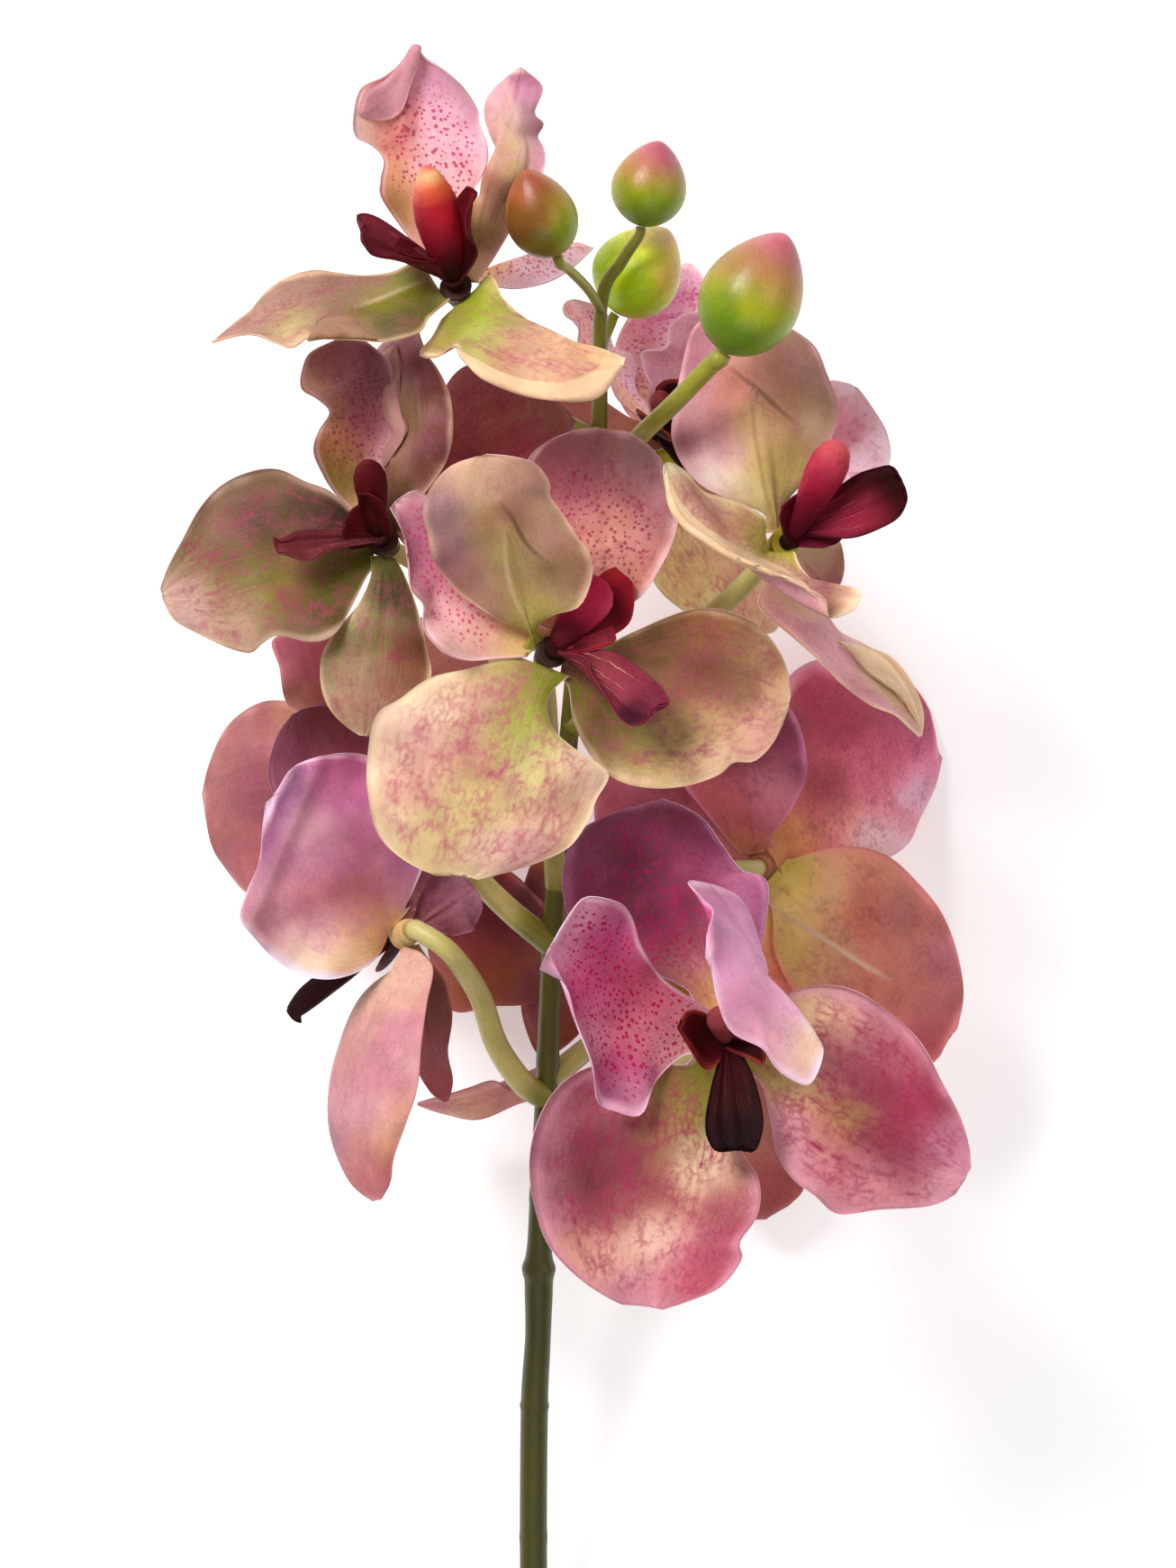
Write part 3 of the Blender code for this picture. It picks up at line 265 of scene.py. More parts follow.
BLOOMS = {
    "top_left": Bloom(hub=(506, 318, 78.0), face=(-0.15, 0.5, 0.85), lip=(401, 260, 92.0),
        column=(473, 185, 92.0),
        tepals={
            "back": Tepal((460, 50, 82.0), 30.0, roll=-5, bend=30, left=35, right=20, wave=2.0, widest=0.56,
                neck=1.7, point=0.72, margins="""
                428,228 422,203 426,178 412,162 396,154 392,135 400,100 425,86 443,72 / 508,232 528,208 541,182
                541,160 533,138 531,122 515,98 493,78 473,66"""),
            "upper_right": Tepal((579, 76, 86.0), 27.0, roll=168, left=30, right=25, wave=2.0, point=0.72,
                margins="""
                533,282 515,258 516,232 533,220 536,200 545,183 553,170 544,150 538,125 546,102 / 548,288 564,262
                580,235 598,208 606,182 604,165 597,152 604,138 594,126 603,98"""),
            "left": Tepal((236, 381, 88.0), 31.0, roll=62, bend=-25, wave=2.0, widest=0.48, point=0.95, sway=-20,
                margins="""
                465,292 435,302 405,306 375,303 348,300 320,308 297,323 278,345 258,361 / 478,352 466,370 428,381
                400,379 365,378 345,376 326,388 308,382 280,372"""),
            "lower_right": Tepal((694, 402, 106.0), 35.0, roll=-24, bend=-30, left=-10, right=10, wave=2.0,
                widest=0.45, neck=0.8, skew=-0.45, sway=30, margins="""
                545,305 560,333 580,352 605,369 635,384 662,389 / 493,350 480,375 465,394 485,398 503,386 514,402
                535,418 565,430 600,442 640,448 670,439"""),
            "far_right": Tepal((656, 272, 36.0), 22.0, roll=-60, bend=-20, wave=2.0,
                margins="570,301 592,300 612,287 632,268 / 562,320 585,319 612,311 636,296"),
        }, leaves=490, stalk=[(600, 455, 60.0), (572, 436, 62.0), (535, 370, 68.0)], column_radius=4.6,
        lip_margins="478,282 450,262 425,245 408,238 397,240 / 488,295 470,291 440,288 417,285 409,276",
        side_lobes={
            "left": ((440, 270, 86.0), "480,283 455,268 / 486,292 456,284"),
            "right": ((525, 210, 94.0), "487,298 489,266 503,229 / 530,284 518,260 518,236 530,219"),
        }),
    "mid_left": Bloom(hub=(425, 600, 80.0), face=(-0.3, 0.3, 0.9), lip=(304, 607, 92.0), column=(408, 512, 92.0),
        tepals={
            "back": Tepal((390, 372, 82.0), 28.0, roll=-5, bend=30, left=40, wave=2.0, neck=2.0,
                margins="""
                372,548 356,522 348,500 354,478 366,458 352,443 335,432 336,410 347,390 / 430,562 433,515 438,480
                440,455 438,430 430,400"""),
            "upper_right": Tepal((462, 368, 83.0), 28.0, roll=140, left=25, right=30, wave=2.5,
                margins="""
                428,572 410,560 406,543 423,524 420,503 435,484 425,462 413,435 415,405 424,382 / 458,565 478,540
                497,510 503,475 500,440 487,412 474,394"""),
            "left": Tepal((180, 660, 84.0), 39.0, roll=10, bend=-25, widest=0.54, neck=0.95,
                margins="""
                392,570 368,546 340,535 308,521 275,525 245,540 222,565 203,600 187,630 / 408,640 388,680 370,706
                345,713 310,706 293,714 278,725 250,718 218,703 193,688"""),
            "lower": Tepal((404, 817, 84.0), 25.0, bend=-40, left=-15, right=-15, margins="""
                412,640 398,672 374,700 358,728 357,762 366,787 383,805 / 450,640 465,680 474,720 478,755 455,785
                428,808"""),
            "far_right": Tepal((636, 462, 66.0), 34.0,
                margins="455,540 475,470 510,410 560,405 605,432 / 470,590 520,560 570,530 605,510 630,488"),
        }, leaves=860, stalk=[(560, 740, 58.0), (480, 640, 66.0)],
        lip_margins="405,590 380,590 350,588 330,590 313,599 / 412,602 385,606 360,614 343,623 320,615",
        side_lobes={
            "left": ((385, 575, 84.0), ()),
            "right": ((405, 548, 92.0), "405,590 400,570 / 436,590 425,560"),
        }),
    "centre": Bloom(hub=(613, 724, 100.0), face=(0.3, 0.25, 0.9), lip=(724, 795, 108.0), column=(668, 643, 97.0),
        tepals={
            "front_left": Tepal((535, 508, 118.0), 36.0, roll=180, bend=25, left=20, right=30, root=(-1, 0.2, 0),
                margins="""
                590,703 560,692 528,672 500,648 480,618 475,590 471,568 481,540 502,519 / 594,700 614,684,5
                644,674,6 658,640,4 655,615,2 642,598 625,572 611,552 611,538 597,518 570,509"""),
            "left": Tepal((438, 560, 102.0), 36.0, roll=10, left=30, right=20, wave=2.0, margins="""
                585,730 552,732 520,734 495,726 475,706 470,690 471,672 457,655 454,625 449,595 / 582,684 545,650
                515,610 492,570 465,546"""),
            "back": Tepal((668, 476, 81.0), 34.0, bend=25, wave=0.8, margins="""
                605,665 587,610 577,555 586,512 607,491 635,479 / 655,690 705,668 728,640 747,603 753,570 745,535
                727,502 700,481"""),
            "right": Tepal((876, 780, 96.0), 38.0, bend=15, left=25, right=25, margins="""
                660,722 700,704 740,686 775,676 810,680 842,696 864,722 875,750 / 632,765 637,800 655,838 683,865
                720,875 760,873 797,861 814,847 838,845 860,822"""),
            "lower": Tepal((522, 974, 102.0), 50.0, bend=-20, left=-10, right=-10, margins="""
                565,731 520,743 478,753 445,776 418,795 409,840 409,880 420,925 450,955 487,972 / 608,775 613,808
                640,833 665,848 676,862 662,888 654,910 632,940 590,960 555,970"""),
        }, leaves=985, stalk=[(612, 900, 66.0), (608, 790, 84.0)], column_radius=4.4,
        lip_margins="648,730 657,750 672,773 688,797 703,806 / 679,724 701,735 720,750 736,765 743,781",
        side_lobes={
            "left": ((690, 634, 92.0), "626,698 648,664 668,638 / 648,716 680,706 701,688 704,652"),
            "right": ((684, 703, 102.0), "640,711 664,702 / 648,724 674,717"),
        }),
    "upper_right": Bloom(hub=(872, 603, 82.0), face=(0.5, 0.3, 0.8), lip=(1003, 537, 96.0),
        column=(933, 491, 96.0),
        tepals={
            "front_left": Tepal((825, 343, 80.0), 38.0, roll=180, bend=25, left=25, right=25,
                margins="""
                850,572 815,556 780,540 757,515 746,485 749,450 757,410 768,367 792,348 / 873,560 890,538 910,512
                925,482 932,455 918,415 905,385 880,366 852,350"""),
            "back": Tepal((948, 428, 68.0), 28.0,
                margins="885,560 893,510 900,460 918,424 / 925,585 962,550 988,515 985,480 969,452"),
            "near": Tepal((820, 622, 122.0), 49.0, look=(0.53, 0.81, 0.2), wave=1.5, margins="""
                850,578 825,560 800,552 778,545 760,524 738,516 740,548 752,578 785,602 / 882,612 890,632 915,655
                945,653 955,661 946,678 920,687 914,666 880,648 850,636"""),
            "lower_right": Tepal((1022, 818, 82.0), 28.0, roll=116, bend=-15, wave=2.5, widest=0.5, neck=0.8,
                margins="""
                868,650 882,668 912,684 932,708 962,718 990,730 1012,757 1025,790 / 842,665 852,684 880,708
                912,737 935,760 965,782 995,794 1010,806"""),
            "far_right": Tepal((925, 658, 52.0), 20.0,
                margins="905,600 930,598 938,620 936,642 / 880,620 892,640 908,655"),
        }, leaves=810, stalk=[(722, 736, 60.0), (800, 674, 65.0), (846, 628, 72.0)], column_radius=3.6,
        lip_margins="900,562 925,545 950,528 970,521 988,518 / 888,594 925,598 950,597 975,588 996,576 1005,560",
        side_lobes={"left": ((900, 548, 88.0), ()), "right": ((938, 566, 84.0), ())}),
    "low_right": Bloom(hub=(805, 1156, 90.0), face=(0.0, 0.1, 1.0), lip=(816, 1277, 100.0),
        column=(802, 1122, 101.0),
        tepals={
            "top": Tepal((728, 889, 84.0), 44.0, bend=25, left=20, right=20, margins="""
                765,1100 700,1070 645,1040 627,1000 626,960 640,926 668,908 700,896 / 812,1105 836,1075 846,1045
                852,1010 853,985 845,972 823,966 803,940 783,912 760,896"""),
            "left": Tepal((607, 1058, 106.0), 43.0, bend=25, left=20, right=20, widest=0.7, neck=1.8, point=0.35,
                margins="""
                765,1107 735,1085 712,1050 700,1015 685,1001 650,996 630,1020 / 758,1172 728,1200 712,1237
                683,1233 664,1222 657,1180 640,1135 627,1090"""),
            "right": Tepal((786, 1068, 130.0), 49.0, look=(-0.85, -0.52, 0.0), bend=95, widest=0.5,
                root=(0.9, 0.4, 0.0), margins="""
                868,1150 905,1152 912,1172 897,1202 870,1192 858,1180 845,1162 812,1145 797,1115 / 850,1090
                842,1045 826,1003 800,985 764,978 778,996 791,1010 784,1035"""),
            "lower_left": Tepal((728, 1451, 96.0), 51.0, left=25, right=25, widest=0.52, skew=-0.06,
                margins="""
                760,1182 710,1176 655,1184 620,1206 597,1245 588,1290 594,1340 612,1385 650,1423 692,1447 /
                803,1200 803,1250 822,1278 840,1305 844,1330 838,1353 821,1378 823,1397 800,1427 765,1443"""),
            "lower_right": Tepal((1074, 1302, 92.0), 42.0, bend=15, widest=0.55, margins="""
                850,1130 872,1105 905,1094 945,1098 985,1122 1020,1155 1045,1200 1067,1243 1077,1280 / 842,1198
                855,1240 862,1280 880,1308 905,1327 930,1347 975,1342 1030,1338 1060,1325"""),
        }, leaves=1330, stalk=[(660, 1240, 52.0), (750, 1180, 68.0)], lip_margins="""
        797,1178 790,1205 784,1235 784,1258 793,1275 / 828,1177 838,1200 846,1232 846,1255 838,1276""",
        side_lobes={
            "left": ((757, 1129, 101.0), "797,1180 782,1186 765,1162 753,1142 / 800,1145 788,1128 772,1121"),
            "right": ((850, 1165, 98.0), "815,1168 830,1174 845,1181 / 815,1150 832,1153"),
        }),
    "back_right": Bloom(hub=(848, 962, 40.0), face=(0.25, 0.1, -0.9), lip=(925, 1000, 22.0),
        column=(845, 955, 28.0),
        tepals={
            "top": Tepal((812, 752, 48.0), 34.0, roll=180, bend=25, margins="""
                815,940 782,900 755,862 757,810 780,768 / 858,928 880,898 896,862 894,825 880,788 850,760"""),
            "upper_right": Tepal((1046, 835, 0.55), 42.0, roll=180, widest=0.56, margins="""
                850,920 852,870 858,815 868,765 897,736 945,728 1000,745 1034,785 / 885,962 930,965 980,956
                1010,938 1025,908 1042,873"""),
            "lower_right": Tepal((1060, 1150, 34.0), 46.0, roll=180, bend=25, margins="""
                880,955 912,944 950,940 988,951 1022,982 1048,1015 1065,1060 1072,1105 / 858,1010 862,1060
                890,1110 940,1150 990,1180 1035,1184"""),
            "lower": Tepal((862, 1200, 26.0), 34.0, roll=180, bend=25),
            "left": Tepal((680, 830, 30.0), 36.0, roll=180, bend=25),
        }, leaves=1060, stalk=[(700, 1000, 54.0), (790, 970, 52.0)]),
    "low_left": Bloom(hub=(447, 1037, 66.0), face=(-0.45, -0.15, -0.88), lip=(323, 1133, 48.0),
        column=(425, 1030, 53.0),
        tepals={
            "front": Tepal((302, 885, 84.0), 47.0, roll=180, bend=25, left=20, right=20, margins="""
                425,1052 405,1075 370,1087 335,1083 303,1063 278,1036 267,1018 275,990 288,958 292,920 / 448,1010
                460,985 472,950 470,900 445,858 405,838 365,838 325,852"""),
            "upper": Tepal((330, 790, 56.0), 34.0,
                margins="400,985 330,930 302,880 298,850 308,815 / 440,960 442,900 425,840 395,800 362,783"),
            "lower": Tepal((418, 1333, 76.0), 37.0, roll=228, bend=30, left=35, right=35, sway=-25, neck=0.9,
                margins="""
                452,1070 418,1090 395,1115 378,1155 366,1200 364,1245 372,1280 390,1315 / 481,1075 474,1115
                468,1160 464,1205 452,1245 438,1285 434,1312"""),
            "right": Tepal((526, 985, 62.0), 15.0, roll=180),
            "far_right": Tepal((495, 1224, 52.0), 14.0, roll=180, margins="""
                448,1080 452,1130 460,1180 476,1212 / 472,1060 492,1085 501,1112 501,1140 497,1170 502,1200"""),
        }, leaves=1220, stalk=[(580, 1203, 50.0), (551, 1160, 56.0), (532, 1105, 64.0), (500, 1058, 73.0)],
        stalk_radii=(2.8, 2.1), lip_margins="""
        420,1032 385,1058 347,1086 331,1100 320,1116 / 432,1048 398,1068 362,1088 345,1104 331,1120"""),
    "back_left": Bloom(hub=(400, 850, 38.0), face=(-0.3, 0.1, -0.9), lip=(335, 925, 12.0),
        column=(395, 845, 26.0),
        tepals={
            "left": Tepal((222, 890, 0.55), 42.0, roll=180, bend=25, margins="""
                375,820 340,785 300,777 270,788 245,812 228,850 / 370,900 340,950 300,985 273,993 245,962 232,940"""),
            "upper_left": Tepal((335, 698, 44.0), 34.0, roll=180,
                margins="375,830 335,800 315,775 309,740 301,710 / 410,820 420,770 400,720 370,700"),
            "upper_right": Tepal((555, 720, 26.0), 36.0, roll=180),
            "right": Tepal((560, 960, 28.0), 34.0, roll=180),
            "lower": Tepal((400, 1050, 20.0), 34.0, roll=180),
        }, leaves=1050, stalk=[(570, 1015, 53.0), (532, 978, 53.0), (450, 890, 48.0)], stalk_radii=(2.8, 2.1)),
    "back_top": Bloom(hub=(730, 480, 44.0), face=(0.2, 0.3, 0.9), lip=(800, 520, 52.0), column=(735, 433, 54.0),
        tepals={
            "top": Tepal((766, 287, 0.6), 22.0, wave=2.0, margins="""
                708,468 693,452 683,425 681,398 686,372 697,350 715,322 738,300 / 748,462 750,430 756,395 764,365
                776,340 784,318 780,300"""),
            "right": Tepal((785, 345, 50.0), 25.0, roll=50, wave=2.0),
            "left": Tepal((636, 330, 34.0), 22.0, roll=70, wave=2.0),
            "lower": Tepal((805, 698, 38.0), 34.0, bend=-20, margins="""
                735,510 722,560 720,610 726,645 752,672 775,684 / 770,510 830,560 862,620 868,670 862,700 830,702"""),
            "lower_left": Tepal((575, 500, 34.0), 28.0, bend=-20),
        }, leaves=640, stalk=[(664, 590, 44.0), (700, 530, 34.0)], column_radius=2.0),
    "back_low": Bloom(hub=(700, 1130, 24.0), face=(0.1, -0.2, -0.9), lip=(740, 1200, 10.0),
        column=(700, 1122, 12.0),
        tepals={
            "upper_left": Tepal((485, 990, 14.0), 32.0, roll=180, margins="""
                640,1110 578,1118 545,1119 502,1124 480,1080 472,1030 / 650,1060 600,1000 560,965 520,962"""),
            "left": Tepal((462, 1228, 20.0), 24.0, roll=112, sway=30, margins="""
                660,1150 600,1190 570,1212 547,1202 520,1210 498,1217 / 670,1165 610,1215 573,1229 530,1246
                490,1239"""),
            "top": Tepal((605, 930, 18.0), 30.0, roll=180, margins="""
                680,1110 630,1162 600,1175 584,1145 578,1115 581,1075 578,1000 / 690,1090 665,1020 650,960"""),
            "right": Tepal((880, 1040, 10.0), 34.0, roll=180),
            "lower": Tepal((858, 1354, 10.0), 34.0, roll=180,
                margins="720,1180 760,1280 800,1330 830,1356 / 760,1140 840,1190 880,1250 896,1315 880,1340"),
        }, leaves=1200, stalk=[(675, 1145, 36.0)]),
}

STEM = [  # plan place, height of the axis above the surface, radius
    ((602, 2165, 2.78), 3.0),
    ((600, 2085, 2.78), 3.0),
    ((598, 2005, 2.78), 3.0),
    ((595, 1900, 4.5), 2.95),
    ((592, 1741, 12.0), 2.95),
    ((593, 1570, 22.0), 2.95),
    ((597, 1490, 27.5), 2.75),
    ((598, 1432, 31.5), 2.95),
    ((598, 1410, 33.0), 3.3),
    ((599, 1380, 35.0), 2.6),
    ((603, 1280, 41.0), 2.4),
    ((607, 1210, 45.0), 2.4),
    ((613, 1050, 51.0), 2.2),
    ((620, 950, 53.5), 2.1),
    ((635, 780, 55.5), 2.0),
    ((650, 600, 57.0), 1.9),
    ((665, 475, 59.0), 1.75),
    ((668, 335, 62.0), 1.4),
    ((690, 290, 64.0), 1.3),
]

BUDS = {
    "left": Bud((618, 284, 87.0), (582, 191, 94.0), 15.2, leaves=345, stalk=[(654, 322, 71.0), (632, 300, 81.0)]),
    "top": Bud((712, 250, 66.0), (733, 156, 70.0), 16.0),
    "back": Bud((684, 346, 52.0), (742, 252, 50.0), 19.0, leaves=400, stalk=[(672, 375, 55.0), (680, 354, 52.5)]),
    "right": Bud((803, 392, 99.0), (872, 262, 104.0), 21.5, leaves=560,
        stalk=[(700, 496, 74.0), (750, 447, 90.0), (790, 406, 97.0)], stalk_radius=2.0),
}


# Colours of the two sides of each kind of petal: heart, left, right, rim and mark, chosen from the photograph
CREAM = Paint("#a9ab3c", "#d8b494", "#dcc890", "#e2c4a4", "#b4506c", veins=0.8, veil=0.45)
OLIVE = Paint("#7f7b2e", "#a89060", "#a07068", "#ccac8c", "#9a4458", veins=0.55, veil=0.5)
SPECKLED = Paint("#e3b27d", "#dba0a0", "#e9b0c8", "#e3b8bd", "#c02c62", spots=0.95, veins=0.15, veil=0.25)
TAN_BACK = Paint("#b8ac5c", "#c48d94", "#bf9c76", "#d2a892", "#9c5870", veins=0.15, veil=0.35)
PINK_BACK = Paint("#d0b47e", "#d89ca4", "#d8a898", "#dca8b0", "#bc6884", veins=0.15, veil=0.3)
LILAC_BACK = Paint("#d4b48c", "#c98bc0", "#d89cc4", "#deb4d0", "#b05c98", veins=0.15, veil=0.35)
MAGENTA = Paint("#d796a8", "#c05898", "#c86c9c", "#deb0cc", "#b0144c", spots=1.1, veins=0.2, veil=0.3)
PURPLE = Paint("#c49c70", "#905078", "#a05880", "#b47cac", "#5c1838", spots=1.1, veins=0.3, veil=0.6)
ROSE_NET = Paint("#a89c4c", "#9c5060", "#c89080", "#c088a0", "#9c2850", edge=0.22, veins=1.0, veil=0.6)
ROSE = Paint("#b08050", "#b05870", "#b8646c", "#d490a8", "#8c2c4c", veins=0.25, veil=0.4)
TERRACOTTA = Paint("#a89a4c", "#b47068", "#b07058", "#bc7878", "#94444c", veins=0.2, veil=0.4)
MAUVE = Paint("#a06858", "#90506c", "#985064", "#a8709c", "#6c2848", veins=0.3, veil=0.4)
DUSKY = Paint("#b88068", "#b07078", "#b87c74", "#c48c8c", "#98405c", veins=0.25, veil=0.4)

REAR_LEFT = """
    280,794,a86864 328,782,9c7858 240,850,b07068 264,866,a05860 232,898,b06c68 280,890,904858 252,930,a85c5c
    272,962,b4606c 320,730,b0607c 344,742,a85468 352,762,b0645c 332,770,bc7468"""
REAR_LOW = """
    504,1034,c06478 540,1062,b86458 560,1090,b06c48 560,1030,84384c 540,1000,843850 590,1100,a05c74
    590,1010,6c3048 540,1218,c87c78 520,1238,d8a88c 480,1222,c47884 640,1120,a05c54 860,1320,a85458
    870,1260,b07068 850,1230,b0746c"""
